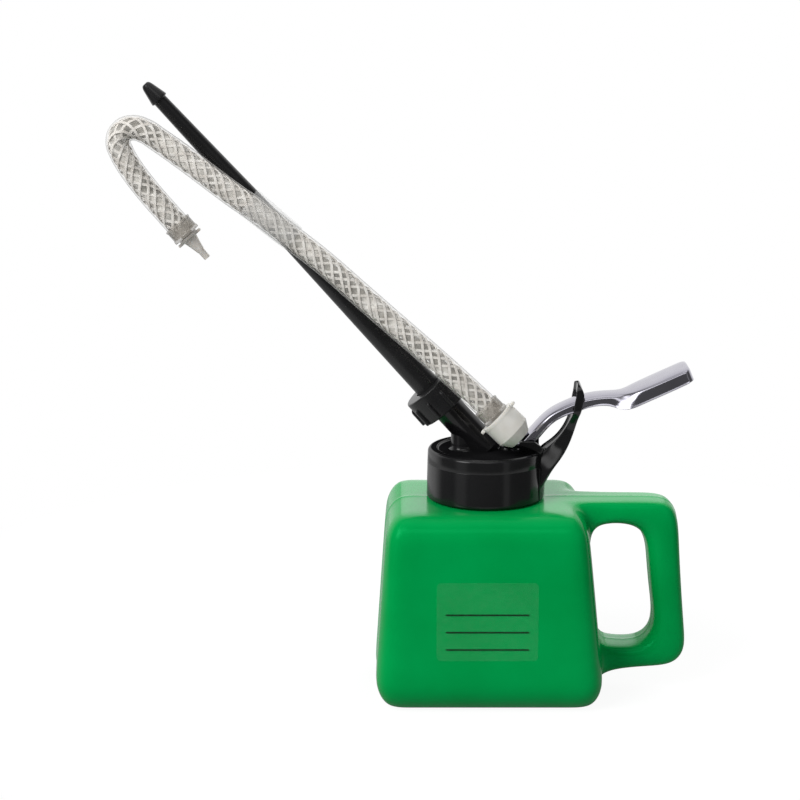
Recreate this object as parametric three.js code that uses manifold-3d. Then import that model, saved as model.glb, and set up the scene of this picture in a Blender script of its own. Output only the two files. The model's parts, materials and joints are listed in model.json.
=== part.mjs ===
// A hand pump oil can: a moulded bottle with a grip, a screw-on pump head with a thumb lever,
// a rigid spout under a union nut, and a braided hose strapped to the spout.
// Millimetres, +Z up. The origin is on the standing face, under the middle of the cap.
// +X is the grip side and -Y is the front.
import * as THREE from "three";
import { mergeVertices } from "three/addons/utils/BufferGeometryUtils.js";
import { RoundedBoxGeometry } from "three/addons/geometries/RoundedBoxGeometry.js";
import Module from "manifold-3d";

const wasm = await Module();
wasm.setup();

// Gaps between pieces
const restGap = 0.15; // pieces that sit on each other
const pushGap = 0.2; // pieces pushed into each other
const pivotGap = 0.08; // a pin in its hole
const slideGap = 0.5; // pieces that pass each other

// Bottle
const bodyHeight = 88;
const baseWidth = 102;
const topWidth = 87;
const baseDepth = 82;
const topDepth = 76;
const baseOffset = 1.6; // the base is a little further to the grip side than the top
const bodyRound = 11.5;
const bottleWall = 1.8;

// Grip of the bottle
const gripDrop = 0.4; // from the bottle's top down to the grip's
const gripBottom = 8;
const gripReach = 90.8;
const gripLean = 5.6; // the back of the grip leans in towards the top
const gripDepth = 24;
const gripRound = 6.2;
const gripBar = 14.6;
const gripArm = 12.8; // height of the grip's upper arm
const holeBottom = 22.4;
const holeRound = 9;
const holeRoot = 1.2; // the gap starts this far from the bottle's side
const gripRoot = 14; // how far the grip's ends go into the bottle

// Neck of the bottle and the cap that screws on it
const neckRadius = 21.6;
const neckBoreRadius = 19.4;
const neckHeight = 16.6;
const threadPitch = 4;
const threadBead = 1.1;
const neckTurns = 1.5;
const capTurns = 1.2;
const threadRoom = 1.5; // from the neck's wall to the skirt's wall
const skirtRadius = 26;
const capTopRadius = 25.5;
const capLift = 0.8; // the skirt stops this far above the bottle
const capPlate = 3.3;
const capEdge = 1.7;
const gasketThick = 2.4;

// Spout line: a straight axis through the elbow, the nut and the rigid spout
const bossX = -9.8;
const bossRadius = 5.5;
const elbowRise = 10.2; // from the cap's top
const spoutLean = THREE.MathUtils.degToRad(-42.5);
const neckTubeRadius = 6.7;
const outletBore = 4.7;
const collarRadius = 9.2;
const collarFrom = 12.6;
const collarTo = 16.6;
const collarBead = 0.5;
const nutPitch = 1.5;
const nutRadius = 12.3;
const nutRib = 1.4;
const nutRibCount = 10;
const nutRibWidth = 1.6;
const nutFrom = 11;
const nutLip = 1.8;
const sealThick = 1.4;
const flangeThick = 1.7;
const ringThick = 0.8;
const spoutRootRadius = 5.85;
const spoutTipRadius = 3.05;
const barbRadius = 3.95;
const barbFrom = 193;
const barbLength = 9.4;
const spoutBoreRoot = 3.4;
const spoutBoreTip = 1.1;

// Lever, the horn that carries it, and its pin through the horn's eye
const footX = 18.5; // where the lever comes down to the cap
const footRise = 2.9; // from the cap's top
const pivotX = 40.2;
const pivotRise = 19.6; // from the cap's top
const pinRadius = 1;
const pinBite = 1.3; // how far the pin goes into each side of the eye
const leverWidth = 13;
const padWidth = 21;
const leverSheet = 1.5;
const earRadius = 2; // the lever's sides are deeper round the pin
const guideThick = 2.4;
const guideRise = 4.6; // from the cap's top
const hornRoot = 24; // widths of the horn at the skirt, half-way up and round the lever
const hornBar = 9;
const eyeWidth = 18;
const eyeHeight = 7.7;
const eyeFlare = 6.5;

// Pump under the cap
const pumpX = 10.4;
const tipRise = 1.9; // middle of the lever's fingers above the cap's top
const tipRadius = 1.2;
const tipPast = 1.5; // how far they reach past the plunger's middle
const crossRadius = 1.3;
const rodHead = 2.7;
const guideRadius = 4.2;
const rodRadius = 2;
const barrelBore = 6.5;
const barrelWall = 1.7;
const barrelLength = 42.85;
const glandDrop = 12.9; // from the cap's ceiling
const glandFlange = 1.4;
const glandPlug = 2.4;
const ductRadius = 3.3;
const ductBore = 2;
const linkRadius = 3; // between the barrel and its side duct
const pistonLength = 8;
const pistonRoom = 1.8; // from the foot valve to the piston at rest
const seatRise = 7; // from the barrel's bottom
const seatHole = 1.6;
const footBall = 2.4;
const cageHeight = 5;
const cageRoof = 1;
const dipRadius = 3;
const dipBore = 2;
const dipBottom = 7; // from the standing face
const socketDepth = 9;
const strainerRadius = 5.2;
const springWire = 0.45;
const springRadius = 4.6;
const springCurls = 6;
const outletSeatFrom = 2;
const outletSeatTo = 4.4;
const outletSeatHole = 1.7;
const outletBall = 2.5;
const spigotFrom = 10.6;

// Hose strapped to the spout
const hoseRadius = 5.35;
const hoseBore = 3;
const hoseSteps = 52;
const ferruleWall = 0.65;
const ferruleLength = 7;
const bandAt = 124; // along the spout's axis from the elbow
const bandLength = 25;
const bandThick = 0.35;

// Clear film on the front
const labelWidth = 44;
const labelHeight = 35;
const labelThick = 0.2;
const labelZ = 42.5;

// The hose's middle line, from the fitting by the cap up the spout, round the fold and back
const hoseLine = [
  [2.6, -18.8, 130.2],
  [-5.4, -18.0, 137.8],
  [-16.9, -16.8, 148.3],
  [-29.7, -15.0, 159.4],
  [-42.3, -13.4, 170.2],
  [-56.7, -11.9, 182.7],
  [-70.8, -10.9, 195.0],
  [-83.2, -10.4, 204.8],
  [-98.6, -10.2, 216.8],
  [-108.1, -10.0, 223.4],
  [-116.9, -9.8, 230.0],
  [-129.2, -9.4, 239.3],
  [-140.7, -9.0, 247.5],
  [-146.1, -8.9, 251.0],
  [-151.4, -8.8, 252.3],
  [-155.7, -8.7, 250.7],
  [-157.5, -8.6, 246.5],
  [-155.9, -8.5, 241.2],
  [-152.1, -8.5, 234.5],
  [-147.8, -8.5, 228.5],
  [-143.3, -8.5, 222.8],
  [-138.3, -8.5, 217.0],
  [-130.1, -8.5, 207.5],
];

// Sizes that follow from those above
const gripTop = bodyHeight - gripDrop;
const holeTop = gripTop - gripArm;
const neckTop = bodyHeight + neckHeight;
const capBottom = bodyHeight + capLift;
const gasketTop = neckTop + restGap + gasketThick;
const capCeiling = gasketTop + restGap;
const capTop = capCeiling + capPlate;
const elbowZ = capTop + elbowRise;
const footZ = capTop + footRise;
const pivotZ = capTop + pivotRise;
const eyeFloor = pivotZ - earRadius - 0.6;
const tipZ = capTop + tipRise;
const crossZ = tipZ + tipRadius + 0.25 + crossRadius;
const rodTop = crossZ + crossRadius + 0.4;
const skirtBore = neckRadius + threadRoom;
const sealFrom = collarTo + 0.3;
const flangeFrom = sealFrom + sealThick + 0.3;
const ringFrom = flangeFrom + flangeThick + 0.3;
const lipFrom = ringFrom + ringThick + 0.3;
const nutTo = lipFrom + nutLip;
const nutBore = collarRadius + collarBead + 0.35;
const spigotRadius = outletBore - 0.3;
const cheekOut = leverWidth / 2;
const eyeHalf = cheekOut + slideGap;
const pinHole = pinRadius + pivotGap;
const barrelRadius = barrelBore + barrelWall;
const glandTop = capCeiling - glandDrop;
const barrelTop = glandTop - glandFlange - restGap;
const glandBottom = barrelTop - glandPlug;
const barrelBottom = barrelTop - barrelLength;
const seatZ = barrelBottom + seatRise;
const cageTop = seatZ + cageHeight;
const pistonRest = cageTop + cageRoof + pistonRoom;
const pistonTop = pistonRest + pistonLength;
const dipTop = barrelBottom + socketDepth - 6 - restGap;

// Solids and meshes

function solid(geometry) {
  const bare = geometry.clone();
  bare.deleteAttribute("normal");
  bare.deleteAttribute("uv");
  const merged = mergeVertices(bare, 1e-4);
  const source = merged.index.array;
  const kept = [];
  for (let i = 0; i < source.length; i += 3) {
    const a = source[i];
    const b = source[i + 1];
    const c = source[i + 2];
    if (a !== b && b !== c && c !== a) kept.push(a, b, c);
  }
  const vertProperties = merged.attributes.position.array;
  const made = (list) =>
    new wasm.Manifold(
      new wasm.Mesh({ numProp: 3, vertProperties, triVerts: new Uint32Array(list) }),
    );
  const first = made(kept);
  if (first.volume() > 0) return first;
  const turned = [];
  for (let i = 0; i < kept.length; i += 3) turned.push(kept[i], kept[i + 2], kept[i + 1]);
  return made(turned);
}

function join(...pieces) {
  return pieces.reduce((whole, piece) => whole.add(piece));
}

function cut(whole, ...tools) {
  return tools.reduce((rest, tool) => rest.subtract(tool), whole);
}

function geometryOf(shape) {
  const mesh = shape.getMesh();
  const geometry = new THREE.BufferGeometry();
  const points = new Float32Array(mesh.vertProperties);
  geometry.setAttribute("position", new THREE.BufferAttribute(points, 3));
  geometry.setIndex(new THREE.BufferAttribute(new Uint32Array(mesh.triVerts), 1));
  geometry.computeVertexNormals();
  return geometry;
}

function part(parent, name, shape, material) {
  const geometry = shape.isBufferGeometry ? geometryOf(solid(shape)) : geometryOf(shape);
  const mesh = new THREE.Mesh(geometry, material);
  mesh.name = name;
  parent.add(mesh);
  return mesh;
}

// A turned shape about Z from radius and height pairs
function turned(pairs, segments = 24) {
  const points = pairs.map(([r, z]) => new THREE.Vector2(r, z));
  return new THREE.LatheGeometry(points, segments).rotateX(Math.PI / 2);
}

// A turned shape whose outline closes on itself, so it has a hole down the middle
function ring(pairs, segments = 24) {
  return turned([...pairs, pairs[0]], segments);
}

// A plain ring with a round hole
function washer(inner, outer, low, high, segments = 24) {
  const outline = [[inner, low], [outer, low], [outer, high], [inner, high]];
  return ring(outline, segments);
}

// A round bar from one height to another
function bar(radius, low, high, segments = 24) {
  const geometry = new THREE.CylinderGeometry(radius, radius, high - low, segments);
  return geometry.rotateX(Math.PI / 2).translate(0, 0, (low + high) / 2);
}

function block(x0, x1, y0, y1, z0, z1) {
  const geometry = new THREE.BoxGeometry(x1 - x0, y1 - y0, z1 - z0);
  return geometry.translate((x0 + x1) / 2, (y0 + y1) / 2, (z0 + z1) / 2);
}

// A side view outline, X across and Z up, given a width in Y about the middle
function sideways(shape, width, options = {}) {
  const bevel = options.bevelThickness ?? 0;
  const settings = { depth: width - 2 * bevel, bevelEnabled: false, ...options };
  const geometry = new THREE.ExtrudeGeometry(shape, settings);
  return geometry.translate(0, 0, bevel - width / 2).rotateX(Math.PI / 2);
}

// A front view outline, Y across and Z up, given a length along X
function lengthways(shape, from, to) {
  const geometry = new THREE.ExtrudeGeometry(shape, { depth: to - from, bevelEnabled: false });
  return geometry.translate(0, 0, from).rotateX(Math.PI / 2).rotateZ(Math.PI / 2);
}

// An outline seen from above, given a height
function upwards(shape, low, high) {
  const settings = { depth: high - low, bevelEnabled: false, curveSegments: 6 };
  return new THREE.ExtrudeGeometry(shape, settings).translate(0, 0, low);
}

function outline(points) {
  return new THREE.Shape(points.map(([x, y]) => new THREE.Vector2(x, y)));
}

// A closed outline whose corners are rounded, or sharp where the radius is 0
function rounded(points, radii, Kind = THREE.Shape) {
  const shape = new Kind();
  const corner = (i) => new THREE.Vector2(...points[(i + points.length) % points.length]);
  points.forEach((_, i) => {
    const at = corner(i);
    const before = corner(i - 1).sub(at);
    const after = corner(i + 1).sub(at);
    const half = Math.acos(before.clone().normalize().dot(after.clone().normalize())) / 2;
    const back = radii[i] / Math.tan(half);
    const start = at.clone().add(before.setLength(back));
    const end = at.clone().add(after.setLength(back));
    if (i === 0) shape.moveTo(start.x, start.y);
    else shape.lineTo(start.x, start.y);
    if (radii[i]) shape.quadraticCurveTo(at.x, at.y, end.x, end.y);
  });
  shape.closePath();
  return shape;
}

// A round wire along a screw line about Z
class ScrewLine extends THREE.Curve {
  constructor(radius, low, pitch, turns, from) {
    super();
    Object.assign(this, { radius, low, pitch, turns, from });
  }
  getPoint(t, target = new THREE.Vector3()) {
    const angle = this.from + 2 * Math.PI * this.turns * t;
    const height = this.low + this.pitch * this.turns * t;
    return target.set(this.radius * Math.cos(angle), this.radius * Math.sin(angle), height);
  }
}

function disc(radius, sides) {
  const shape = new THREE.Shape();
  for (let i = 0; i < sides; i++) {
    const angle = (2 * Math.PI * i) / sides;
    const x = radius * Math.cos(angle);
    const y = radius * Math.sin(angle);
    if (i) shape.lineTo(x, y);
    else shape.moveTo(x, y);
  }
  shape.closePath();
  return shape;
}

function screwBead(radius, low, pitch, turns, from, bead) {
  const path = new ScrewLine(radius, low, pitch, turns, from);
  const steps = Math.round(20 * turns);
  const settings = { steps, extrudePath: path, bevelEnabled: false };
  return new THREE.ExtrudeGeometry(disc(bead, 6), settings);
}

// Onto the spout line: the piece's own Z runs up the spout from the elbow
function onSpout(geometry) {
  return geometry.rotateY(spoutLean).translate(bossX, 0, elbowZ);
}

// Materials

function plastic(color, roughness, extra = {}) {
  return new THREE.MeshStandardMaterial({ color, roughness, metalness: 0, ...extra });
}

function metal(color, roughness) {
  return new THREE.MeshStandardMaterial({ color, roughness, metalness: 1 });
}

const green = plastic(0x009444, 0.35);
const film = plastic(0xbfe0cc, 0.25, { transparent: true, opacity: 0.4 });
const black = plastic(0x1c1c1e, 0.2);
const rubber = plastic(0x202020, 0.8);
const white = plastic(0xe4e2da, 0.4);
const milky = plastic(0xd8cfbc, 0.35, { transparent: true, opacity: 0.8 });
const clear = plastic(0xdfe3e4, 0.12, { transparent: true, opacity: 0.5 });
const plated = metal(0xd4d4d8, 0.12);
const steel = metal(0xb8b8bc, 0.25);

const oilCan = new THREE.Group();

// Bottle

// Narrows a box towards the top and moves its foot towards the grip
function tapered(geometry) {
  const place = geometry.attributes.position;
  for (let i = 0; i < place.count; i++) {
    const t = place.getZ(i) / bodyHeight;
    const wide = 1 + t * (topWidth / baseWidth - 1);
    const deep = 1 + t * (topDepth / baseDepth - 1);
    place.setX(i, place.getX(i) * wide + baseOffset * (1 - t));
    place.setY(i, place.getY(i) * deep);
  }
  return geometry;
}

function bottleBox(inset, segments) {
  const across = baseWidth - 2 * inset;
  const deep = baseDepth - 2 * inset;
  const high = bodyHeight - 2 * inset;
  const box = new RoundedBoxGeometry(across, deep, high, segments, bodyRound - inset);
  return solid(tapered(box.translate(0, 0, bodyHeight / 2)));
}

function sideOfBottle(z) {
  const t = z / bodyHeight;
  return (baseWidth + t * (topWidth - baseWidth)) / 2 + baseOffset * (1 - t);
}

function grip(inset, bevelSegments) {
  const inner = sideOfBottle(holeTop) - gripRoot;
  const reachTop = gripReach - gripLean;
  const outer = [
    [inner, gripBottom + inset],
    [gripReach - inset, gripBottom + 1.6 + inset],
    [reachTop - inset, gripTop - inset],
    [inner, gripTop - inset],
  ];
  const shape = rounded(outer, [0, 12 - inset, 14 - inset, 0]);
  const lean = (gripLean * (holeTop - holeBottom)) / (gripTop - gripBottom);
  const backLow = gripReach - gripBar - 0.8;
  const hole = [
    [sideOfBottle(holeBottom) + holeRoot - inset, holeBottom - inset],
    [sideOfBottle(holeTop) + holeRoot - inset, holeTop + inset],
    [backLow - lean + inset, holeTop + inset],
    [backLow + inset, holeBottom - inset],
  ];
  const r = holeRound + inset;
  shape.holes.push(rounded(hole, [r, r, r, r], THREE.Path));
  const bevel = gripRound - inset;
  const settings = {
    bevelEnabled: true,
    bevelThickness: bevel,
    bevelSize: bevel,
    bevelOffset: -bevel,
    bevelSegments,
    curveSegments: 5,
  };
  return solid(sideways(shape, gripDepth - 2 * inset, settings));
}

const threadLow = bodyHeight + 4.6;
const neckThread = screwBead(neckRadius - 0.1, threadLow, threadPitch, neckTurns, 0, threadBead);
const reservoir = cut(
  join(
    bottleBox(0, 5),
    grip(0, 4),
    solid(bar(neckRadius, bodyHeight - 3, neckTop, 40)),
    solid(neckThread),
  ),
  join(
    bottleBox(bottleWall, 2),
    grip(bottleWall, 2),
    solid(bar(neckBoreRadius, bodyHeight - 6, neckTop + 1, 40)),
  ),
);
part(oilCan, "reservoir", reservoir, green);

const faceLean = Math.atan((baseDepth - topDepth) / 2 / bodyHeight);
const faceY = -(baseDepth + (labelZ / bodyHeight) * (topDepth - baseDepth)) / 2;
const labelOutline = rounded(
  [
    [-labelWidth / 2, -labelHeight / 2],
    [labelWidth / 2, -labelHeight / 2],
    [labelWidth / 2, labelHeight / 2],
    [-labelWidth / 2, labelHeight / 2],
  ],
  [2, 2, 2, 2],
);
const labelSheet = sideways(labelOutline, labelThick, { curveSegments: 3 });
const label = part(oilCan, "contents_label", labelSheet, film);
label.position.set(0, faceY - labelThick / 2 - 0.1, labelZ);
label.rotation.x = -faceLean;

// Pump head

const gasketOuter = skirtBore - 0.4;
const gasket = washer(neckBoreRadius - 0.2, gasketOuter, neckTop + restGap, gasketTop, 36);
part(oilCan, "cap_gasket", gasket, rubber);

const edgeArc = [];
for (let i = 0; i <= 3; i++) {
  const angle = (Math.PI / 2) * (1 - i / 3);
  const r = capTopRadius - capEdge + capEdge * Math.cos(angle);
  edgeArc.push([r, capTop - capEdge + capEdge * Math.sin(angle)]);
}
const skirt = solid(
  turned(
    [
      [0, capTop],
      ...edgeArc,
      [skirtRadius, capBottom + 0.7],
      [skirtRadius - 0.6, capBottom],
      [skirtBore, capBottom],
      [skirtBore, capCeiling],
      [0, capCeiling],
    ],
    44,
  ),
);
const skirtRoom = solid(bar(skirtBore, capBottom - 20, capCeiling, 44));
const capThread = screwBead(
  skirtBore + 0.1,
  threadLow - threadPitch / 2,
  threadPitch,
  capTurns,
  0,
  threadBead,
);

// Points given from the lever's foot
const fromFoot = (points) => points.map(([x, z]) => [footX + x, footZ + z]);

// The horn: a curved arm from the skirt, narrow half-way up, with an eye for the lever at the top
const hornSide = outline(
  fromFoot([
    [4, -22],
    [7.1, -22],
    [8.1, -15.5],
    [12.6, -9.8],
    [15.8, -5.1],
    [18.2, -0.5],
    [20.1, 4.7],
    [21.3, 9.4],
    [22.4, 13.6],
    [23.3, 16.6],
    [23.4, 19],
    [24.3, 21.9],
    [23.3, 24.3],
    [22.2, 25.5],
    [20.9, 25.3],
    [20.4, 23.4],
    [19.9, 19],
    [19.4, 14.9],
    [17.6, 9],
    [15.1, 4.7],
    [12.6, 1.6],
    [9.6, -1],
    [6.6, -3.3],
    [4, -4.8],
  ]),
);
const hornHalves = [
  [hornRoot / 2, capBottom - 1],
  [hornRoot / 2, capTop - 8.6],
  [hornBar / 2, capTop + 1.4],
  [hornBar / 2, eyeFloor - eyeFlare],
  [eyeWidth / 2, eyeFloor],
  [eyeWidth / 2, pivotZ + 2 * eyeHeight],
];
const hornFront = outline([...hornHalves, ...hornHalves.map(([y, z]) => [-y, z]).reverse()]);
const eyeWindow = block(footX, pivotX + 20, -eyeHalf, eyeHalf, eyeFloor, eyeFloor + eyeHeight);
const horn = cut(
  solid(sideways(hornSide, hornRoot)).intersect(solid(lengthways(hornFront, 0, pivotX + 20))),
  solid(eyeWindow),
);

// Two guides on the cap beside the lever's foot
const guideTop = capTop + guideRise;
const guideShape = rounded(
  [
    [footX - 4, capTop - 1],
    [footX + 5.6, capTop - 1],
    [footX + 5.6, guideTop - 1.8],
    [footX + 2.4, guideTop],
    [footX - 4, guideTop],
  ],
  [0, 0, 1.2, 2, 2],
);
const guidePair = cut(
  solid(sideways(guideShape, 2 * (eyeHalf + guideThick))),
  solid(block(0, 40, -eyeHalf, eyeHalf, capTop, guideTop + 5)),
);
const neckTube = solid(onSpout(bar(neckTubeRadius, -14, collarFrom + 0.5, 28)));
const collar = solid(onSpout(bar(collarRadius, collarFrom, collarTo, 28)));
const collarThread = screwBead(
  collarRadius - 0.1,
  collarFrom + collarBead + 0.2,
  nutPitch,
  1.5,
  0,
  collarBead,
);
const boss = bar(bossRadius, capCeiling, elbowZ, 24).translate(bossX, 0, 0);
const ductSocket = bar(ductRadius + pushGap, capCeiling - 4, capTop + 3.4).translate(bossX, 0, 0);
const ductWay = bar(ductBore, capTop, elbowZ + 1.2, 16).translate(bossX, 0, 0);
const pinHalf = eyeHalf + pinBite;
const pinCut = bar(pinHole, -pinHalf - restGap, pinHalf + restGap, 20);
pinCut.rotateX(Math.PI / 2).translate(pivotX, 0, pivotZ);
const rodGuide = bar(guideRadius, capCeiling, capTop + 0.8, 24).translate(pumpX, 0, 0);
const rodWay = bar(rodRadius + 0.4, capCeiling - 1, capTop + 3, 20).translate(pumpX, 0, 0);
const pumpCap = cut(
  join(
    cut(
      join(
        skirt,
        horn,
        guidePair,
        solid(rodGuide),
        neckTube,
        collar,
        solid(onSpout(collarThread)),
        solid(boss),
      ),
      skirtRoom,
    ),
    solid(capThread),
  ),
  solid(onSpout(bar(outletBore, outletSeatFrom - 0.3, collarTo + 2, 24))),
  solid(onSpout(bar(ductBore, -1, outletSeatFrom, 16))),
  solid(ductWay),
  solid(ductSocket),
  solid(pinCut),
  solid(rodWay),
);
part(oilCan, "pump_cap", pumpCap, black);

const pin = bar(pinRadius, -pinHalf, pinHalf, 20).rotateX(Math.PI / 2);
part(oilCan, "lever_pivot_pin", pin, steel).position.set(pivotX, 0, pivotZ);

// Lever: a pressed channel that rocks on its pin, with two fingers that lift the plunger's cross pin

const leverTop = [
  [0.1, 4.2],
  [3.8, 8.3],
  [6.8, 11.7],
  [9.3, 13.8],
  [12.3, 15.6],
  [18.7, 18.6],
  [24.5, 20.7],
  [30, 21.6],
  [37.5, 22],
  [42.3, 22.6],
  [47.5, 24.7],
  [55, 28.1],
  [63, 31.8],
  [68.1, 34],
  [70.7, 33.9],
];
const leverUnder = [
  [72.9, 30.5],
  [70.7, 28.4],
  [59.6, 23.7],
  [49.1, 19.2],
  [43.9, 16.9],
  [40.2, 15.6],
  [37, 16.2],
  [33.8, 17.5],
  [27.9, 17.4],
];
const ear = [];
for (let i = 0; i <= 5; i++) {
  const angle = THREE.MathUtils.degToRad(-20 - 21 * i);
  ear.push([pivotX + earRadius * Math.cos(angle), pivotZ + earRadius * Math.sin(angle)]);
}
const leverBack = [
  [16.8, 13.8],
  [10.4, 9.2],
  [4.6, 3.4],
  [2.6, 0.6],
];
const tipX = pumpX - tipPast;
const tipRound = [];
for (let i = 0; i <= 6; i++) {
  const angle = -Math.PI / 2 - (i / 6) * Math.PI;
  tipRound.push([tipX + tipRadius * Math.cos(angle), tipZ + tipRadius * Math.sin(angle)]);
}
const leverSide = outline([
  ...fromFoot([...leverTop, ...leverUnder]),
  ...ear,
  ...fromFoot(leverBack),
  [footX + 0.4, tipZ - 0.3],
  [footX - 2.6, tipZ - tipRadius],
  ...tipRound,
  [footX - 4.2, tipZ + tipRadius],
  [footX - 1.6, tipZ + tipRadius + 1.1],
]);
const underTop = leverTop.map(([x, z]) => [x + 0.4, z - leverSheet]);
const leverInside = outline([
  [tipX - 20, tipZ - 20],
  [tipX - 20, footZ + 2.2],
  ...fromFoot([[0.2, 2.2], ...underTop, [78, 27]]),
  [footX + 78, tipZ - 20],
]);
const leverPlan = (inset) => {
  const stem = leverWidth / 2 - inset;
  const pad = padWidth / 2 - inset;
  const end = footX + 71.7 - inset;
  const wide = footX + 55.5;
  const narrow = footX + 39.5;
  const bend = (narrow + wide) / 2;
  const shape = new THREE.Shape();
  shape.moveTo(-20, -stem);
  shape.lineTo(narrow, -stem);
  shape.bezierCurveTo(bend, -stem, bend, -pad, wide, -pad);
  shape.lineTo(end - 4, -pad);
  shape.quadraticCurveTo(end, -pad, end, -pad + 4);
  shape.lineTo(end, pad - 4);
  shape.quadraticCurveTo(end, pad, end - 4, pad);
  shape.lineTo(wide, pad);
  shape.bezierCurveTo(bend, pad, bend, stem, narrow, stem);
  shape.lineTo(-20, stem);
  shape.closePath();
  return shape;
};
const planLow = tipZ - 2 * padWidth;
const planHigh = pivotZ + 4 * padWidth;
const leverSolid = cut(
  solid(sideways(leverSide, padWidth + 2)).intersect(solid(upwards(leverPlan(0), planLow, planHigh))),
  solid(sideways(leverInside, padWidth + 4)).intersect(
    solid(upwards(leverPlan(leverSheet), planLow, planHigh)),
  ),
  solid(pinCut),
);
part(oilCan, "lever", leverSolid, plated);

// Pump: barrel with its side duct, gland, plunger, valves, dip tube and strainer

const pump = new THREE.Group();
pump.position.x = pumpX;
oilCan.add(pump);

const socketRadius = dipRadius + pushGap;
const spigotOuter = socketRadius + 1.4;
const socketTop = barrelBottom + socketDepth - 6;
const barrelShape = ring(
  [
    [spigotOuter, barrelBottom - 6],
    [spigotOuter, barrelBottom + 2],
    [barrelRadius, barrelBottom + 4],
    [barrelRadius, barrelTop],
    [barrelBore, barrelTop],
    [barrelBore, seatZ],
    [seatHole, seatZ],
    [seatHole, socketTop],
    [socketRadius, socketTop],
    [socketRadius, barrelBottom - 6],
  ],
  32,
);
const ductX = bossX - pumpX;
const portZ = glandBottom - 3;
const ductTop = capTop + 3;
const barrel = cut(
  join(
    solid(barrelShape),
    solid(bar(ductRadius, portZ - 5, ductTop, 20).translate(ductX, 0, 0)),
    solid(bar(linkRadius, ductX, -barrelBore - 0.6, 16).rotateY(Math.PI / 2).translate(0, 0, portZ)),
  ),
  solid(bar(ductBore, portZ - 2, ductTop + 1, 16).translate(ductX, 0, 0)),
  solid(bar(1.5, ductX, -2, 12).rotateY(Math.PI / 2).translate(0, 0, portZ)),
);
part(pump, "pump_barrel", barrel, white);

const glandSeat = glandTop - 2.6;
const gland = ring(
  [
    [rodRadius + pivotGap, glandBottom],
    [barrelBore - pushGap, glandBottom],
    [barrelBore - pushGap, barrelTop + restGap],
    [barrelBore + 0.5, barrelTop + restGap],
    [barrelBore + 0.5, glandTop],
    [rodRadius + 2.2, glandTop],
    [rodRadius + 2.2, glandSeat],
    [rodRadius + pivotGap, glandSeat],
  ],
  20,
);
part(pump, "barrel_gland", gland, black);

const sealSection = [];
for (let i = 0; i < 6; i++) {
  const angle = (2 * Math.PI * i) / 6;
  const r = rodRadius + 1.1 + 0.95 * Math.cos(angle);
  sealSection.push([r, glandSeat + restGap + 0.95 + 0.95 * Math.sin(angle)]);
}
part(pump, "rod_seal", ring(sealSection, 18), rubber);

const rodNeck = crossZ - crossRadius - 0.5;
const rodShape = turned(
  [
    [0, pistonRest + 0.6],
    [rodRadius - 0.4, pistonRest + 0.6],
    [rodRadius, pistonRest + 1],
    [rodRadius, rodNeck - 0.6],
    [rodHead, rodNeck],
    [rodHead, rodTop - 0.5],
    [rodHead - 0.5, rodTop],
    [0, rodTop],
  ],
  16,
);
const acrossRod = (radius, half) =>
  bar(radius, -half, half, 16).rotateX(Math.PI / 2).translate(0, 0, crossZ);
const crossHole = acrossRod(crossRadius + pivotGap, 2 * rodHead);
part(pump, "plunger_rod", cut(solid(rodShape), solid(crossHole)), steel);
part(pump, "plunger_cross_pin", acrossRod(crossRadius, cheekOut + 0.7), steel);

const grooveLow = pistonRest + 2.6;
const grooveHigh = pistonTop - 2.4;
const pistonRadius = barrelBore - 0.25;
const piston = ring(
  [
    [rodRadius + 0.1, pistonRest],
    [pistonRadius, pistonRest],
    [pistonRadius, grooveLow],
    [4.4, grooveLow],
    [4.4, grooveHigh],
    [pistonRadius, grooveHigh],
    [pistonRadius, pistonTop],
    [rodRadius + 0.1, pistonTop],
  ],
  20,
);
part(pump, "plunger_piston", piston, white);

const cup = ring(
  [
    [4.5, grooveLow + restGap],
    [barrelBore - 0.4, grooveLow + restGap],
    [barrelBore - 0.08, grooveHigh - restGap],
    [5.6, grooveHigh - restGap],
    [5.3, grooveLow + 1.4],
    [4.5, grooveLow + 1.4],
  ],
  20,
);
part(pump, "piston_cup", cup, rubber);

// Return spring round the rod, between the piston and the gland
const springLow = pistonTop + springWire + 0.3;
const springHigh = glandBottom - springWire - 0.3;
const springPitch = (springHigh - springLow) / springCurls;
const springLine = new ScrewLine(springRadius, springLow, springPitch, springCurls, 0);
const springSettings = { steps: 8 * springCurls, extrudePath: springLine, bevelEnabled: false };
part(
  pump,
  "return_spring",
  new THREE.ExtrudeGeometry(disc(springWire, 5), springSettings),
  steel,
);

// The least gap between two curls, measured on points of the wire
const wirePoints = springLine.getSpacedPoints(240);
let wireGap = Infinity;
wirePoints.forEach((a, i) => {
  for (let j = i + 24; j < wirePoints.length; j++) {
    wireGap = Math.min(wireGap, a.distanceTo(wirePoints[j]) - 2 * springWire);
  }
});
console.log("least gap between the spring's curls " + wireGap.toFixed(2) + " mm");

const cageBore = footBall + 0.4;
const cageShape = ring(
  [
    [cageBore, seatZ + restGap],
    [barrelBore - pushGap, seatZ + restGap],
    [barrelBore - pushGap, cageTop + cageRoof],
    [footBall - 0.9, cageTop + cageRoof],
    [footBall - 0.9, cageTop],
    [cageBore, cageTop],
  ],
  24,
);
const cageCuts = [0, 1, 2].map((i) => {
  const flow = block(footBall - 1.2, barrelBore - 1.4, -0.7, 0.7, cageTop - 2, cageTop + 5);
  return solid(flow.rotateZ((2 * Math.PI * i) / 3));
});
part(pump, "inlet_cage", cut(solid(cageShape), ...cageCuts), white);

const ballRest = Math.sqrt(footBall ** 2 - seatHole ** 2);
const inletBall = part(pump, "inlet_ball", new THREE.SphereGeometry(footBall, 12, 8), steel);
inletBall.position.z = seatZ + ballRest + 0.12;

const dip = washer(dipBore, dipRadius, dipBottom, dipTop, 20);
part(pump, "dip_tube", dip, milky);

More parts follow.
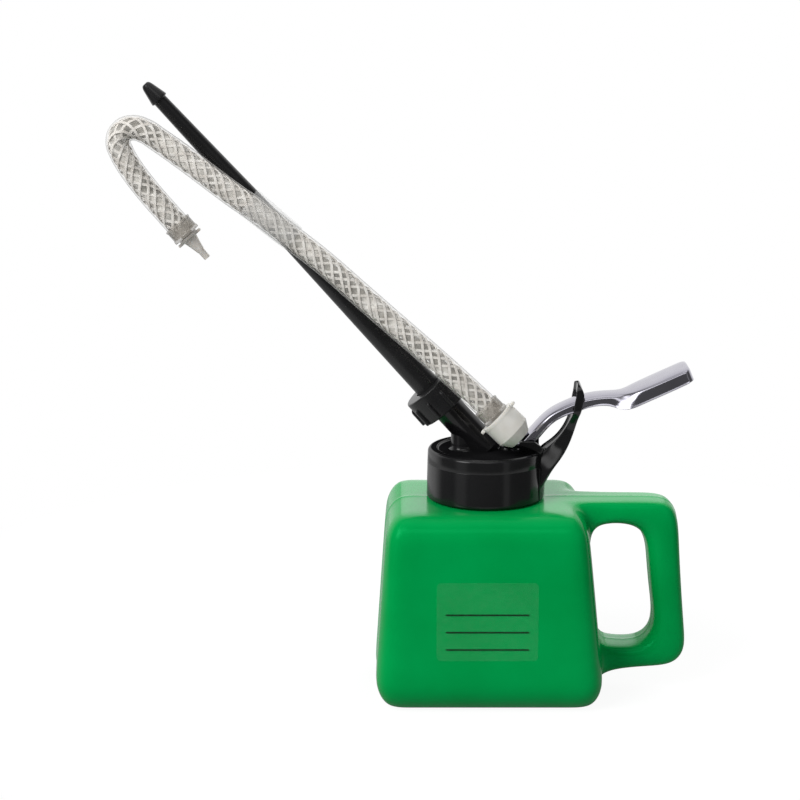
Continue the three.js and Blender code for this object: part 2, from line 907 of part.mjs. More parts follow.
const strainerShape = solid(
  ring(
    [
      [dipRadius + pushGap, dipBottom - 2],
      [strainerRadius, dipBottom - 2],
      [strainerRadius, dipBottom + 5.4],
      [dipRadius + 1.2, dipBottom + 8],
      [dipRadius + pushGap, dipBottom + 8],
    ],
    24,
  ),
);
const strainerCuts = [0, 1, 2].map((i) => {
  const slot = block(-9, 9, -0.8, 0.8, dipBottom - 3, dipBottom - 0.6);
  return solid(slot.rotateZ((Math.PI * i) / 3));
});
part(pump, "suction_strainer", cut(strainerShape, ...strainerCuts), white);

// Spout line

const spoutLine = new THREE.Group();
spoutLine.position.set(bossX, 0, elbowZ);
spoutLine.rotation.y = spoutLean;
oilCan.add(spoutLine);

const outletSeat = washer(outletSeatHole, outletBore - 0.3, outletSeatFrom, outletSeatTo, 24);
part(spoutLine, "outlet_seat", outletSeat, white);
const outletRest = Math.sqrt(outletBall ** 2 - outletSeatHole ** 2);
const ball = part(spoutLine, "outlet_ball", new THREE.SphereGeometry(outletBall, 12, 8), steel);
ball.position.z = outletSeatTo + outletRest + 0.12;

const sealRing = washer(spigotRadius + 0.3, nutBore - 0.6, sealFrom, sealFrom + sealThick, 32);
part(spoutLine, "spout_seal", sealRing, rubber);

const flangeTo = flangeFrom + flangeThick;
const spoutEnd = barbFrom + barbLength;
const spout = ring(
  [
    [spigotRadius, spigotFrom],
    [spigotRadius, flangeFrom],
    [nutBore - 0.6, flangeFrom],
    [nutBore - 0.6, flangeTo],
    [spoutRootRadius, flangeTo + 0.2],
    [spoutRootRadius, nutTo],
    [spoutTipRadius, barbFrom],
    [barbRadius, barbFrom + 0.4],
    [barbRadius - 0.1, barbFrom + 1.4],
    [2.05, spoutEnd - 0.4],
    [1.7, spoutEnd],
    [spoutBoreTip, spoutEnd],
    [spoutBoreRoot, nutTo + 20],
    [spoutBoreRoot, spigotFrom + 4],
    [outletBall - 0.6, spigotFrom + 3],
    [outletBall - 0.6, spigotFrom],
  ],
  24,
);
part(spoutLine, "spout", spout, black);

const lipBore = spoutRootRadius + 0.6;
const slip = washer(lipBore, nutBore - 0.6, ringFrom, ringFrom + ringThick, 32);
part(spoutLine, "slip_ring", slip, white);

const nutShape = solid(
  ring(
    [
      [nutBore, nutFrom],
      [nutRadius - 0.6, nutFrom],
      [nutRadius, nutFrom + 0.6],
      [nutRadius, nutTo - 1.4],
      [nutRadius - 1.4, nutTo],
      [lipBore, nutTo],
      [lipBore, lipFrom],
      [nutBore, lipFrom],
    ],
    36,
  ),
);
const nutRibs = [];
for (let i = 0; i < nutRibCount; i++) {
  const shape = rounded(
    [
      [nutRadius - 1, nutFrom + 0.4],
      [nutRadius + nutRib, nutFrom + 0.4],
      [nutRadius + nutRib, nutTo - 2],
      [nutRadius - 1, nutTo - 0.8],
    ],
    [0, 0.6, 0.9, 0],
  );
  const rib = sideways(shape, nutRibWidth, { curveSegments: 2 });
  nutRibs.push(solid(rib.rotateZ((2 * Math.PI * (i + 0.5)) / nutRibCount)));
}
part(spoutLine, "union_nut", join(nutShape, ...nutRibs), black);

// Hose with its fittings

const hosePath = new THREE.CatmullRomCurve3(
  hoseLine.map(([x, y, z]) => new THREE.Vector3(x, y, z)),
  false,
  "centripetal",
);
const hoseSection = disc(hoseRadius, 10);
hoseSection.holes.push(disc(hoseBore, 6));
const hoseSettings = { steps: hoseSteps, extrudePath: hosePath, bevelEnabled: false };
part(oilCan, "flex_hose", new THREE.ExtrudeGeometry(hoseSection, hoseSettings), clear);

// A group at one end of the hose, whose own Z runs outwards
function hoseEnd(t, sign) {
  const group = new THREE.Group();
  const out = hosePath.getTangentAt(t).multiplyScalar(sign);
  group.position.copy(hosePath.getPointAt(t));
  group.quaternion.setFromUnitVectors(new THREE.Vector3(0, 0, 1), out);
  oilCan.add(group);
  return group;
}
const lowerEnd = hoseEnd(0, -1);
const upperEnd = hoseEnd(1, 1);

const ferruleBore = hoseRadius + 0.3;
const ferruleOuter = ferruleBore + ferruleWall;
const ferrule = () =>
  ring(
    [
      [ferruleBore, 0.3 - ferruleLength + 1.6],
      [ferruleOuter - 0.2, 0.3 - ferruleLength + 1.6],
      [ferruleOuter, 0.9 - ferruleLength + 1.6],
      [ferruleOuter, 1],
      [ferruleOuter - 0.6, 1.6],
      [hoseBore - 0.1, 1.6],
      [hoseBore - 0.1, 0.4],
      [ferruleBore, 0.4],
    ],
    24,
  );
part(lowerEnd, "hose_ferrule_lower", ferrule(), clear);
part(upperEnd, "hose_ferrule_upper", ferrule(), clear);

const barb = hoseBore - 0.45;
const adapterBody = solid(
  ring(
    [
      [1.4, -9],
      [barb - 0.4, -9],
      [barb, -7],
      [barb, 1.9],
      [8.3, 1.9],
      [8.3, 3.4],
      [8.1, 3.5],
      [8.1, 11.6],
      [5.2, 16],
      [1.4, 16],
    ],
    24,
  ),
);
const adapterLugs = solid(block(-9.9, 9.9, -1.6, 1.6, 1.9, 3.4));
const adapterBore = solid(bar(1.4, -10, 17, 24));
const adapter = cut(join(adapterBody, adapterLugs), adapterBore);
part(lowerEnd, "hose_adapter", adapter, white);

const nozzleBody = solid(
  ring(
    [
      [1, -9],
      [barb - 0.4, -9],
      [barb, -7],
      [barb, 1.9],
      [4.9, 1.9],
      [4.9, 3.1],
      [4.2, 3.3],
      [3.2, 5],
      [2.3, 7.4],
      [1.75, 10.2],
      [1.5, 10.8],
      [1.45, 14.6],
      [0.8, 14.6],
    ],
    16,
  ),
);
const nozzleLugs = solid(block(-6.2, 6.2, -1.2, 1.2, 1.9, 3.1));
const nozzle = cut(join(nozzleBody, nozzleLugs), solid(bar(0.8, -10, 16, 16)));
part(upperEnd, "hose_nozzle", nozzle, milky);

// Clear band round the spout and the hose
function bandForm(gap, long) {
  const at = new THREE.Vector3(Math.sin(spoutLean), 0, Math.cos(spoutLean));
  const low = bandAt - long / 2;
  const high = bandAt + long / 2;
  const slope = (spoutTipRadius - spoutRootRadius) / (barbFrom - nutTo);
  const radius = (s) => spoutRootRadius + slope * (s - nutTo) + gap;
  const cone = new THREE.CylinderGeometry(radius(high), radius(low), long, 20);
  const middle = new THREE.Vector3(bossX, 0, elbowZ).addScaledVector(at, bandAt);
  const spoutPiece = onSpout(cone.rotateX(Math.PI / 2).translate(0, 0, bandAt));
  const line = hosePath.getSpacedPoints(200);
  const away = line.map((p) => Math.abs(p.clone().sub(middle).dot(at)));
  const nearest = away.indexOf(Math.min(...away.slice(0, 140)));
  const along = hosePath.getTangentAt(nearest / 200).normalize();
  const hosePiece = bar(hoseRadius + gap, -long / 2, long / 2, 20);
  const turn = new THREE.Quaternion().setFromUnitVectors(new THREE.Vector3(0, 0, 1), along);
  hosePiece.applyQuaternion(turn).translate(...line[nearest].toArray());
  return wasm.Manifold.hull([solid(spoutPiece), solid(hosePiece)]);
}
const bandSolid = cut(bandForm(0.3 + bandThick, bandLength), bandForm(0.3, bandLength + 8));
part(oilCan, "hose_band", bandSolid, clear);

export default oilCan;
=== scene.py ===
import json
from math import atan2, cos, pi, radians, sin, sqrt

import bmesh
import bpy
from mathutils import Matrix, Vector
from mathutils.geometry import interpolate_bezier


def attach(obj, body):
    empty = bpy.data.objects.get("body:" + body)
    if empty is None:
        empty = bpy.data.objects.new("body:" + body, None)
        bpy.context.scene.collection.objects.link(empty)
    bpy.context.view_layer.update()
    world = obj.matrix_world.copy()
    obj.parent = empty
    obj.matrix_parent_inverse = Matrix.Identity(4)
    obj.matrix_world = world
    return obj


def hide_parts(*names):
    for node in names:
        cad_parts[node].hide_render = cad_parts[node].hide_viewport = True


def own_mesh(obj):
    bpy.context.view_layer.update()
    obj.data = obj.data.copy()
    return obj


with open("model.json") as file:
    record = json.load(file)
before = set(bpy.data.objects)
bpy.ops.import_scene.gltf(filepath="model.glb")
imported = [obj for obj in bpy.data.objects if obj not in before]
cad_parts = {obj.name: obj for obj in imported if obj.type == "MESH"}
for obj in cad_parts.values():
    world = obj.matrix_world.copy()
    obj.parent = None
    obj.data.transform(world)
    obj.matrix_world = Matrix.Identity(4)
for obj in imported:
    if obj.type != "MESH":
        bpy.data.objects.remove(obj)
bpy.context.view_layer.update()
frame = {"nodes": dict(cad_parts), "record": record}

scene = bpy.context.scene
scene.view_settings.view_transform = "Standard"
millimetre = 0.001  # pieces are drawn in millimetres and brought to metres when they are done


# Shapes

def isVert(item):
    return isinstance(item, bmesh.types.BMVert)


def isEdge(item):
    return isinstance(item, bmesh.types.BMEdge)


def isFace(item):
    return isinstance(item, bmesh.types.BMFace)


def joinShape(target, shape, place=None):
    if place is not None:
        bmesh.ops.transform(shape, matrix=place, verts=shape.verts)
    carried = bpy.data.meshes.new("carried")
    shape.to_mesh(carried)
    shape.free()
    target.from_mesh(carried)
    bpy.data.meshes.remove(carried)
    return target


def tidyShape(shape):
    bmesh.ops.remove_doubles(shape, verts=shape.verts, dist=0.0005)
    bmesh.ops.recalc_face_normals(shape, faces=shape.faces)
    return shape


def softenEdges(shape, offset, segments=3, above=30, chosen=None):
    edges = [
        e for e in shape.edges
        if len(e.link_faces) == 2 and e.calc_face_angle(0) > radians(above)
        and (chosen is None or chosen(e))
    ]
    bmesh.ops.bevel(
        shape, geom=edges, offset=offset, offset_type="OFFSET", segments=segments,
        profile=0.5, affect="EDGES", clamp_overlap=True, material=-1,
    )
    return shape


def turnedShape(outline, steps=64, closed=True):
    shape = bmesh.new()
    points = [shape.verts.new((r, 0, z)) for r, z in outline]
    edges = [shape.edges.new(pair) for pair in zip(points, points[1:])]
    if closed:
        edges.append(shape.edges.new((points[-1], points[0])))
    bmesh.ops.spin(
        shape, geom=points + edges, cent=(0, 0, 0), axis=(0, 0, 1),
        angle=2 * pi, steps=steps, use_merge=True, use_duplicate=False,
    )
    return tidyShape(shape)


def plateShape(outline, low, high):
    shape = bmesh.new()  # a side outline, X and Z, given a width in Y
    face = shape.faces.new([shape.verts.new((x, low, z)) for x, z in outline])
    grown = bmesh.ops.extrude_face_region(shape, geom=[face])
    moved = [v for v in grown["geom"] if isVert(v)]
    bmesh.ops.translate(shape, verts=moved, vec=(0, high - low, 0))
    bmesh.ops.recalc_face_normals(shape, faces=shape.faces)
    return shape


def growRing(shape, edges, ring, row):
    # draws a ring or a row of points on to new places
    grown = bmesh.ops.extrude_edge_only(shape, edges=edges)["geom"]
    fresh = [g for g in grown if isVert(g)]
    places = [v.co.copy() for v in ring]
    ring = [min(fresh, key=lambda v: (v.co - at).length) for at in places]
    for v, p in zip(ring, row):
        v.co = p
    edges = [g for g in grown if isEdge(g) and all(v in ring for v in g.verts)]
    return edges, ring


def blockShape(low, high):
    shape = bmesh.new()
    bmesh.ops.create_cube(shape, size=1)
    span = [b - a for a, b in zip(low, high)]
    bmesh.ops.scale(shape, verts=shape.verts, vec=span)
    bmesh.ops.translate(shape, verts=shape.verts, vec=[(a + b) / 2 for a, b in zip(low, high)])
    return shape


def carved(shape, cutter, mode="DIFFERENCE"):
    pair = []
    for name, each in (("kept", shape), ("cutter", cutter)):
        mesh = bpy.data.meshes.new(name)
        each.to_mesh(mesh)
        each.free()
        pair.append(bpy.data.objects.new(name, mesh))
        scene.collection.objects.link(pair[-1])
    tool = pair[0].modifiers.new("carve", "BOOLEAN")
    tool.operation = mode
    tool.solver = "EXACT"
    tool.object = pair[1]
    result = bmesh.new()
    result.from_object(pair[0], bpy.context.evaluated_depsgraph_get())
    for each in pair:
        mesh = each.data
        bpy.data.objects.remove(each)
        bpy.data.meshes.remove(mesh)
    return result


def setPiece(name, shape, finish, body, nodes, sharp=35):
    bmesh.ops.scale(shape, verts=shape.verts, vec=(millimetre,) * 3)
    mesh = bpy.data.meshes.new(name)
    shape.to_mesh(mesh)
    shape.free()
    mesh.materials.append(finish)
    mesh.shade_smooth()
    if sharp:
        mesh.set_sharp_from_angle(angle=radians(sharp))
    piece = bpy.data.objects.new(name, mesh)
    scene.collection.objects.link(piece)
    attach(piece, body)
    if nodes:
        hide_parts(*nodes)
    return piece


def addSubdivision(piece, levels):
    smooth = piece.modifiers.new("smooth", "SUBSURF")
    smooth.levels = levels
    smooth.render_levels = levels
    return smooth


# Finishes

def newFinish(name):
    finish = bpy.data.materials.new(name)
    finish.use_nodes = True
    shader = finish.node_tree.nodes["Principled BSDF"]
    return finish, finish.node_tree, shader


def objectNoise(tree, scale, detail=3, stretch=(1, 1, 1)):
    place = tree.nodes.new("ShaderNodeTexCoord")
    mapping = tree.nodes.new("ShaderNodeMapping")
    mapping.inputs["Scale"].default_value = stretch
    noise = tree.nodes.new("ShaderNodeTexNoise")
    noise.inputs["Scale"].default_value = scale
    noise.inputs["Detail"].default_value = detail
    tree.links.new(place.outputs["Object"], mapping.inputs["Vector"])
    tree.links.new(mapping.outputs["Vector"], noise.inputs["Vector"])
    return noise


def spread(tree, source, low, high, fromLow=0.35, fromHigh=0.65):
    reach = tree.nodes.new("ShaderNodeMapRange")
    reach.inputs["From Min"].default_value = fromLow
    reach.inputs["From Max"].default_value = fromHigh
    reach.inputs["To Min"].default_value = low
    reach.inputs["To Max"].default_value = high
    tree.links.new(source, reach.inputs["Value"])
    return reach.outputs["Result"]


def tinted(tree, source, dark, light):
    ramp = tree.nodes.new("ShaderNodeValToRGB")
    ramp.color_ramp.elements[0].position = 0.3
    ramp.color_ramp.elements[0].color = (*dark, 1)
    ramp.color_ramp.elements[1].position = 0.7
    ramp.color_ramp.elements[1].color = (*light, 1)
    tree.links.new(source, ramp.inputs["Fac"])
    return ramp.outputs["Color"]


def larger(tree, first, second):
    pick = tree.nodes.new("ShaderNodeMath")
    pick.operation = "MAXIMUM"
    tree.links.new(first, pick.inputs[0])
    tree.links.new(second, pick.inputs[1])
    return pick.outputs[0]


def upwardness(tree):
    geometry = tree.nodes.new("ShaderNodeNewGeometry")
    parts = tree.nodes.new("ShaderNodeSeparateXYZ")
    tree.links.new(geometry.outputs["Normal"], parts.inputs["Vector"])
    return parts.outputs["Z"]


def turnedAway(tree, blend):
    weight = tree.nodes.new("ShaderNodeLayerWeight")
    weight.inputs["Blend"].default_value = blend
    return weight.outputs["Facing"]


def colourMix(tree, share, second):
    mix = tree.nodes.new("ShaderNodeMix")
    mix.data_type = "RGBA"
    tree.links.new(share, mix.inputs["Factor"])
    mix.inputs["B"].default_value = (*second, 1)
    return mix


def mouldedFinish(name, look):
    finish, tree, shader = newFinish(name)
    cloud = objectNoise(tree, look["cloud"])
    grain = objectNoise(tree, look["grain"], 2, look.get("stretch", (1, 1, 1)))
    colour = tinted(tree, cloud.outputs["Fac"], look["dark"], look["light"])
    tree.links.new(colour, shader.inputs["Base Color"])
    tree.links.new(spread(tree, grain.outputs["Fac"], *look["roughness"]), shader.inputs["Roughness"])
    bump = tree.nodes.new("ShaderNodeBump")
    bump.inputs["Strength"].default_value = look["bump"]
    bump.inputs["Distance"].default_value = look.get("bumpDepth", 0.0001)
    tree.links.new(grain.outputs["Fac"], bump.inputs["Height"])
    tree.links.new(bump.outputs["Normal"], shader.inputs["Normal"])
    shader.inputs["Metallic"].default_value = look.get("metallic", 0)
    shader.inputs["Specular IOR Level"].default_value = look.get("specular", 0.5)
    shader.inputs["Specular Tint"].default_value = (*look.get("shine", (1, 1, 1)), 1)
    shader.inputs["Alpha"].default_value = look.get("alpha", 1)
    if "topSpecular" in look:  # flat tops and sides that turn away shine by their own shares
        side = spread(
            tree, turnedAway(tree, 0.5), look["specular"], look["edgeSpecular"], 0.4, 0.75,
        )
        level = spread(tree, upwardness(tree), look["specular"], look["topSpecular"], 0.93, 0.99)
        tree.links.new(side, level.node.inputs["To Min"])
        tree.links.new(level, shader.inputs["Specular IOR Level"])
    if "topShine" in look:  # a flat top mirrors the white room
        sheen = colourMix(tree, spread(tree, upwardness(tree), 0, 1, 0.9, 0.99), look["topShine"])
        sheen.inputs["A"].default_value = (*look["shine"], 1)
        tree.links.new(sheen.outputs["Result"], shader.inputs["Specular Tint"])
    if "edge" in look:  # a clear wall is seen at its edges more than face on
        seen = spread(tree, turnedAway(tree, 0.35), look["alpha"], look["edge"], 0.35, 0.95)
        if "patches" in look:  # and here and there it is milky
            patch = objectNoise(tree, look["patches"], 1)
            seen = larger(tree, seen, spread(tree, patch.outputs["Fac"], 0, 0.95, 0.42, 0.62))
        tree.links.new(seen, shader.inputs["Alpha"])
    if "rim" in look:  # painted shade: the clear wall's colour darkens towards its edges by the view angle, standing in for the dark edges that refraction gives
        shade = colourMix(tree, spread(tree, turnedAway(tree, 0.35), 0, 1, 0.3, 0.9), look["rim"])
        tree.links.new(colour, shade.inputs["A"])
        tree.links.new(shade.outputs["Result"], shader.inputs["Base Color"])
    shader.inputs["Subsurface Weight"].default_value = look.get("glow", 0)
    shader.inputs["Subsurface Radius"].default_value = look.get("glowColour", (1, 1, 1))
    shader.inputs["Subsurface Scale"].default_value = look.get("glowDepth", 0.002)
    return finish


greenPlastic = mouldedFinish("greenPlastic", {
    "dark": (0.0, 0.285, 0.056), "light": (0.0, 0.33, 0.07), "cloud": 30,
    "grain": 700, "roughness": (0.15, 0.22), "bump": 0.03, "specular": 0.3, "shine": (0.06, 1, 0.45),
    "topShine": (0.75, 1, 0.9), "topSpecular": 0.9, "edgeSpecular": 0.05,
})
blackNylon = mouldedFinish("blackNylon", {
    "dark": (0.005, 0.005, 0.0055), "light": (0.008, 0.008, 0.0085), "cloud": 60,
    "grain": 1400, "roughness": (0.13, 0.17), "bump": 0.004, "specular": 0.5, "topSpecular": 0,
    "edgeSpecular": 0.06,
})
satinNylon = mouldedFinish("satinNylon", {
    "dark": (0.007, 0.007, 0.0075), "light": (0.011, 0.011, 0.0115), "cloud": 80,
    "grain": 1600, "roughness": (0.27, 0.3), "bump": 0.002, "specular": 0.45,
})
brightPlate = mouldedFinish("brightPlate", {
    "dark": (0.43, 0.42, 0.48), "light": (0.5, 0.49, 0.55), "cloud": 90,
    "grain": 260, "stretch": (0.25, 1, 1), "roughness": (0.13, 0.17), "bump": 0.008, "metallic": 1,
})
plainSteel = mouldedFinish("plainSteel", {
    "dark": (0.52, 0.52, 0.54), "light": (0.64, 0.64, 0.66), "cloud": 200,
    "grain": 2500, "roughness": (0.2, 0.32), "bump": 0.08, "metallic": 1,
})
softRubber = mouldedFinish("softRubber", {
    "dark": (0.014, 0.014, 0.014), "light": (0.028, 0.028, 0.028), "cloud": 150,
    "grain": 3000, "roughness": (0.6, 0.75), "bump": 0.15,
})
whiteNylon = mouldedFinish("whiteNylon", {
    "dark": (0.6, 0.585, 0.54), "light": (0.69, 0.68, 0.64), "cloud": 120,
    "grain": 1600, "roughness": (0.34, 0.46), "bump": 0.06, "glow": 0.25, "glowColour": (1, 0.9, 0.75),
})
milkyPlastic = mouldedFinish("milkyPlastic", {
    "dark": (0.62, 0.58, 0.53), "light": (0.76, 0.73, 0.69), "cloud": 150,
    "grain": 1800, "roughness": (0.25, 0.36), "bump": 0.05, "alpha": 0.86,
    "glow": 0.2, "glowColour": (1, 0.85, 0.7),
})
hoseVinyl = mouldedFinish("hoseVinyl", {
    "dark": (0.66, 0.64, 0.6), "light": (0.86, 0.84, 0.8), "cloud": 260,
    "grain": 420, "roughness": (0.1, 0.18), "bump": 0.6, "bumpDepth": 0.0007, "alpha": 0.1, "edge": 0.8,
    # rim is the colour of the painted shade at the wall's edges
    "specular": 0.9, "rim": (0.16, 0.155, 0.145),
})
hoseMilk = mouldedFinish("hoseMilk", {
    "dark": (0.3, 0.28, 0.24), "light": (0.92, 0.9, 0.85), "cloud": 150,
    "grain": 900, "roughness": (0.2, 0.35), "bump": 0.1, "alpha": 0.22, "edge": 0.98, "patches": 95,
})
# painted shade: a dark mottled core stands in for the shade and dark refraction seen down the middle of the
# clear hose
paintedBoreShade = mouldedFinish("paintedBoreShade", {
    "dark": (0.03, 0.027, 0.02), "light": (0.62, 0.59, 0.52), "cloud": 210,
    "grain": 900, "roughness": (0.2, 0.35), "bump": 0.1, "alpha": 0.8,
})
braidYarn = mouldedFinish("braidYarn", {
    "dark": (0.66, 0.62, 0.57), "light": (0.94, 0.92, 0.88), "cloud": 300,
    "grain": 5000, "roughness": (0.3, 0.45), "bump": 0.3, "alpha": 0.8,
})
clearPlastic = mouldedFinish("clearPlastic", {
    "dark": (0.34, 0.31, 0.27), "light": (0.5, 0.47, 0.42), "cloud": 160,
    "grain": 500, "roughness": (0.08, 0.12), "bump": 0.01, "alpha": 0.42, "edge": 0.97, "specular": 0.8,
    # rim is the colour of the painted shade at the wall's edges
    "rim": (0.07, 0.065, 0.055),
})
frostedFilm = mouldedFinish("frostedFilm", {
    "dark": (0.6, 0.6, 0.59), "light": (0.8, 0.8, 0.79), "cloud": 120,
    "grain": 900, "roughness": (0.12, 0.24), "bump": 0.1, "alpha": 0.14, "specular": 0.6,
})
print("finishes ready")


# Camera

view = {"place": (-0.0378, -0.9529, 0.3518), "tilt": 77, "lens": 100}
camera = bpy.data.objects.new("camera", bpy.data.cameras.new("camera"))
camera.location = view["place"]
camera.rotation_euler = (radians(view["tilt"]), 0, 0)
camera.data.lens = view["lens"]
camera.data.sensor_width = 36
camera.data.clip_start = 0.01
scene.collection.objects.link(camera)
scene.camera = camera
print("camera set")


# Hose: clear wall, braid and a dark core of painted shade along one line, with its fittings

hose = {
    # bore is the radius of the dark core, a sheet of painted shade down the middle
    "radius": 5.35, "liner": 3.95, "bore": 2.3, "yarns": 6, "pitch": 31,
    "yarnWidth": 1.1, "yarnThick": 0.3, "wander": 0.1, "outerYarn": 4.5, "innerYarn": 4.15,
    "line": [
        (2.6, -18.8, 130.2), (-5.4, -18.0, 137.8), (-16.9, -16.8, 148.3), (-29.7, -15.0, 159.4),
        (-42.3, -13.4, 170.2), (-56.7, -11.9, 182.7), (-70.8, -10.9, 195.0), (-83.2, -10.4, 204.8),
        (-98.6, -10.2, 216.8), (-108.1, -10.0, 223.4), (-116.9, -9.8, 230.0), (-129.2, -9.4, 239.3),
        (-140.7, -9.0, 247.5), (-146.1, -8.9, 251.0), (-151.4, -8.8, 252.3), (-155.7, -8.7, 250.7),
        (-157.5, -8.6, 246.5), (-155.9, -8.5, 241.2), (-152.1, -8.5, 234.5), (-147.8, -8.5, 228.5),
        (-143.3, -8.5, 222.8), (-138.3, -8.5, 217.0), (-130.1, -8.5, 207.5),
    ],
}


def hoseCurve(name, radius, finish):
    curve = bpy.data.curves.new(name, "CURVE")
    curve.dimensions = "3D"
    curve.resolution_u = 10
    curve.bevel_depth = radius * millimetre
    curve.bevel_resolution = 7
    curve.use_fill_caps = True
    spline = curve.splines.new("BEZIER")
    spline.bezier_points.add(len(hose["line"]) - 1)
    for knot, point in zip(spline.bezier_points, hose["line"]):
        knot.co = Vector(point) * millimetre
        knot.handle_left_type = "AUTO"
        knot.handle_right_type = "AUTO"
    curve.materials.append(finish)
    piece = bpy.data.objects.new(name, curve)
    scene.collection.objects.link(piece)
    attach(piece, "head")
    return piece


hoseWall = hoseCurve("hoseWall", hose["radius"], hoseVinyl)
hoseLiner = hoseCurve("hoseLiner", hose["liner"], hoseMilk)
# a core of painted shade down the hose's middle
hoseShadeCore = hoseCurve("hoseShadeCore", hose["bore"], paintedBoreShade)
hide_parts("flex_hose")
bpy.context.view_layer.update()

knots = hoseWall.data.splines[0].bezier_points
hosePath = []
for a, b in zip(knots, knots[1:]):
    part = interpolate_bezier(a.co, a.handle_right, b.handle_left, b.co, 13)
    hosePath += part[:-1]
hosePath.append(knots[-1].co.copy())
hosePath = [p / millimetre for p in hosePath]


def followed(points):
    # points along the hose with a side and a front direction that don't twist
    frames = []
    side = Vector((0, 1, 0))
    run = 0.0
    for i, point in enumerate(points):
        ahead = (points[min(i + 1, len(points) - 1)] - points[max(i - 1, 0)]).normalized()
        side = (side - ahead * side.dot(ahead)).normalized()
        if i:
            run += (point - points[i - 1]).length
        frames.append((point, ahead, side, ahead.cross(side), run))
    return frames


hoseFrames = followed(hosePath)


def yarnShape(turn, start, radius):
    # one flat yarn wound along the hose
    yarn = bmesh.new()
    corners = [(-0.5, -0.5), (0.5, -0.5), (0.5, 0.5), (-0.5, 0.5)]
    slope = 2 * pi * radius / hose["pitch"]
    ring = []
    for point, ahead, side, up, run in hoseFrames[::2]:
        stray = hose["wander"] * sin(run * 0.23 + start * 3 + turn)
        angle = start + turn * 2 * pi * run / hose["pitch"] + stray
        out = side * cos(angle) + up * sin(angle)
        sweep = up * cos(angle) - side * sin(angle)
        across = out.cross((ahead + sweep * slope * turn).normalized())
        row = [
            point + out * (radius + t * hose["yarnThick"]) + across * w * hose["yarnWidth"]
            for w, t in corners
        ]
        if not ring:
            ring = [yarn.verts.new(p) for p in row]
            edges = [yarn.edges.new((ring[i], ring[i - 1])) for i in range(4)]
            yarn.faces.new(ring)
            continue
        edges, ring = growRing(yarn, edges, ring, row)
    yarn.faces.new(ring)
    bmesh.ops.recalc_face_normals(yarn, faces=yarn.faces)
    return yarn


braid = bmesh.new()
for i in range(hose["yarns"]):
    joinShape(braid, yarnShape(1, 2 * pi * i / hose["yarns"], hose["outerYarn"]))
    joinShape(braid, yarnShape(-1, 2 * pi * i / hose["yarns"], hose["innerYarn"]))
hoseBraid = setPiece("hoseBraid", braid, braidYarn, "head", [], sharp=50)


def endPlace(point, out):
    # a place at one end of the hose, whose own Z runs outwards
    turn = Vector((0, 0, 1)).rotation_difference(out).to_matrix().to_4x4()
    return Matrix.Translation(point) @ turn


lowerEnd = endPlace(hosePath[0], (hosePath[0] - hosePath[1]).normalized())
upperEnd = endPlace(hosePath[-1], (hosePath[-1] - hosePath[-2]).normalized())

ferrule = {"bore": 5.65, "wall": 0.65, "length": 6.7}


def ferruleShape():
    outer = ferrule["bore"] + ferrule["wall"]
    low = 1.6 - ferrule["length"]
    shape = turnedShape([
        (ferrule["bore"], low), (outer, low), (outer, low + 0.8), (outer - 0.3, low + 1.2),
        (outer - 0.3, 0), (outer, 0.4), (outer, 1.6), (2.9, 1.6), (2.9, 0.4), (ferrule["bore"], 0.4),
    ])
    return softenEdges(shape, 0.16, 2)


ferruleLow = setPiece(
    "hoseFerruleLow", joinShape(bmesh.new(), ferruleShape(), lowerEnd),
    clearPlastic, "head", ["hose_ferrule_lower"],
)
ferruleHigh = setPiece(
    "hoseFerruleHigh", joinShape(bmesh.new(), ferruleShape(), upperEnd),
    clearPlastic, "head", ["hose_ferrule_upper"],
)

adapter = {"flange": 8.2, "body": 8.1, "end": 5.2, "lugs": 9.9, "bore": 1.4}
adapterShape = softenEdges(turnedShape([
    (adapter["bore"], -9), (2.15, -9), (2.55, -7), (2.55, 1.9), (adapter["flange"], 1.9),
    (adapter["flange"], 3.4), (adapter["body"], 3.6), (adapter["body"], 11.6), (adapter["end"], 16),
    (adapter["bore"], 16),
], 72), 0.3, 3, 20)
lugShape = softenEdges(blockShape((-adapter["lugs"], -1.6, 1.95), (-7.4, 1.6, 3.35)), 0.35, 3)
otherLug = softenEdges(blockShape((7.4, -1.6, 1.95), (adapter["lugs"], 1.6, 3.35)), 0.35, 3)
joinShape(adapterShape, lugShape)
joinShape(adapterShape, otherLug)
hoseAdapter = setPiece(
    "hoseAdapter", joinShape(bmesh.new(), adapterShape, lowerEnd),
    whiteNylon, "head", ["hose_adapter"],
)

nozzle = {"flange": 4.4, "ears": 6.0, "tip": 1.45, "bore": 0.8}
nozzleShape = softenEdges(turnedShape([
    (nozzle["bore"], -9), (2.15, -9), (2.55, -7), (2.55, 1.9), (nozzle["flange"], 1.9),
    (nozzle["flange"], 3.1), (3.5, 3.4), (3.05, 4.4), (2.7, 5.9), (2.3, 7.4), (1.98, 9), (1.75, 10.2),
    (1.5, 10.6), (nozzle["tip"], 14.6), (nozzle["bore"], 14.6),
], 48), 0.18, 2, 35)
for low, high in ((-nozzle["ears"], -3.2), (3.2, nozzle["ears"])):
    ear = softenEdges(blockShape((low, -1.2, 2.5), (high, 1.2, 3.7)), 0.3, 3)
    joinShape(nozzleShape, ear)
hoseNozzle = setPiece(
    "hoseNozzle", joinShape(bmesh.new(), nozzleShape, upperEnd),
    milkyPlastic, "head", ["hose_nozzle"],
)


# Bottle: a subdivided cage whose grip is drawn out of the side and joined back

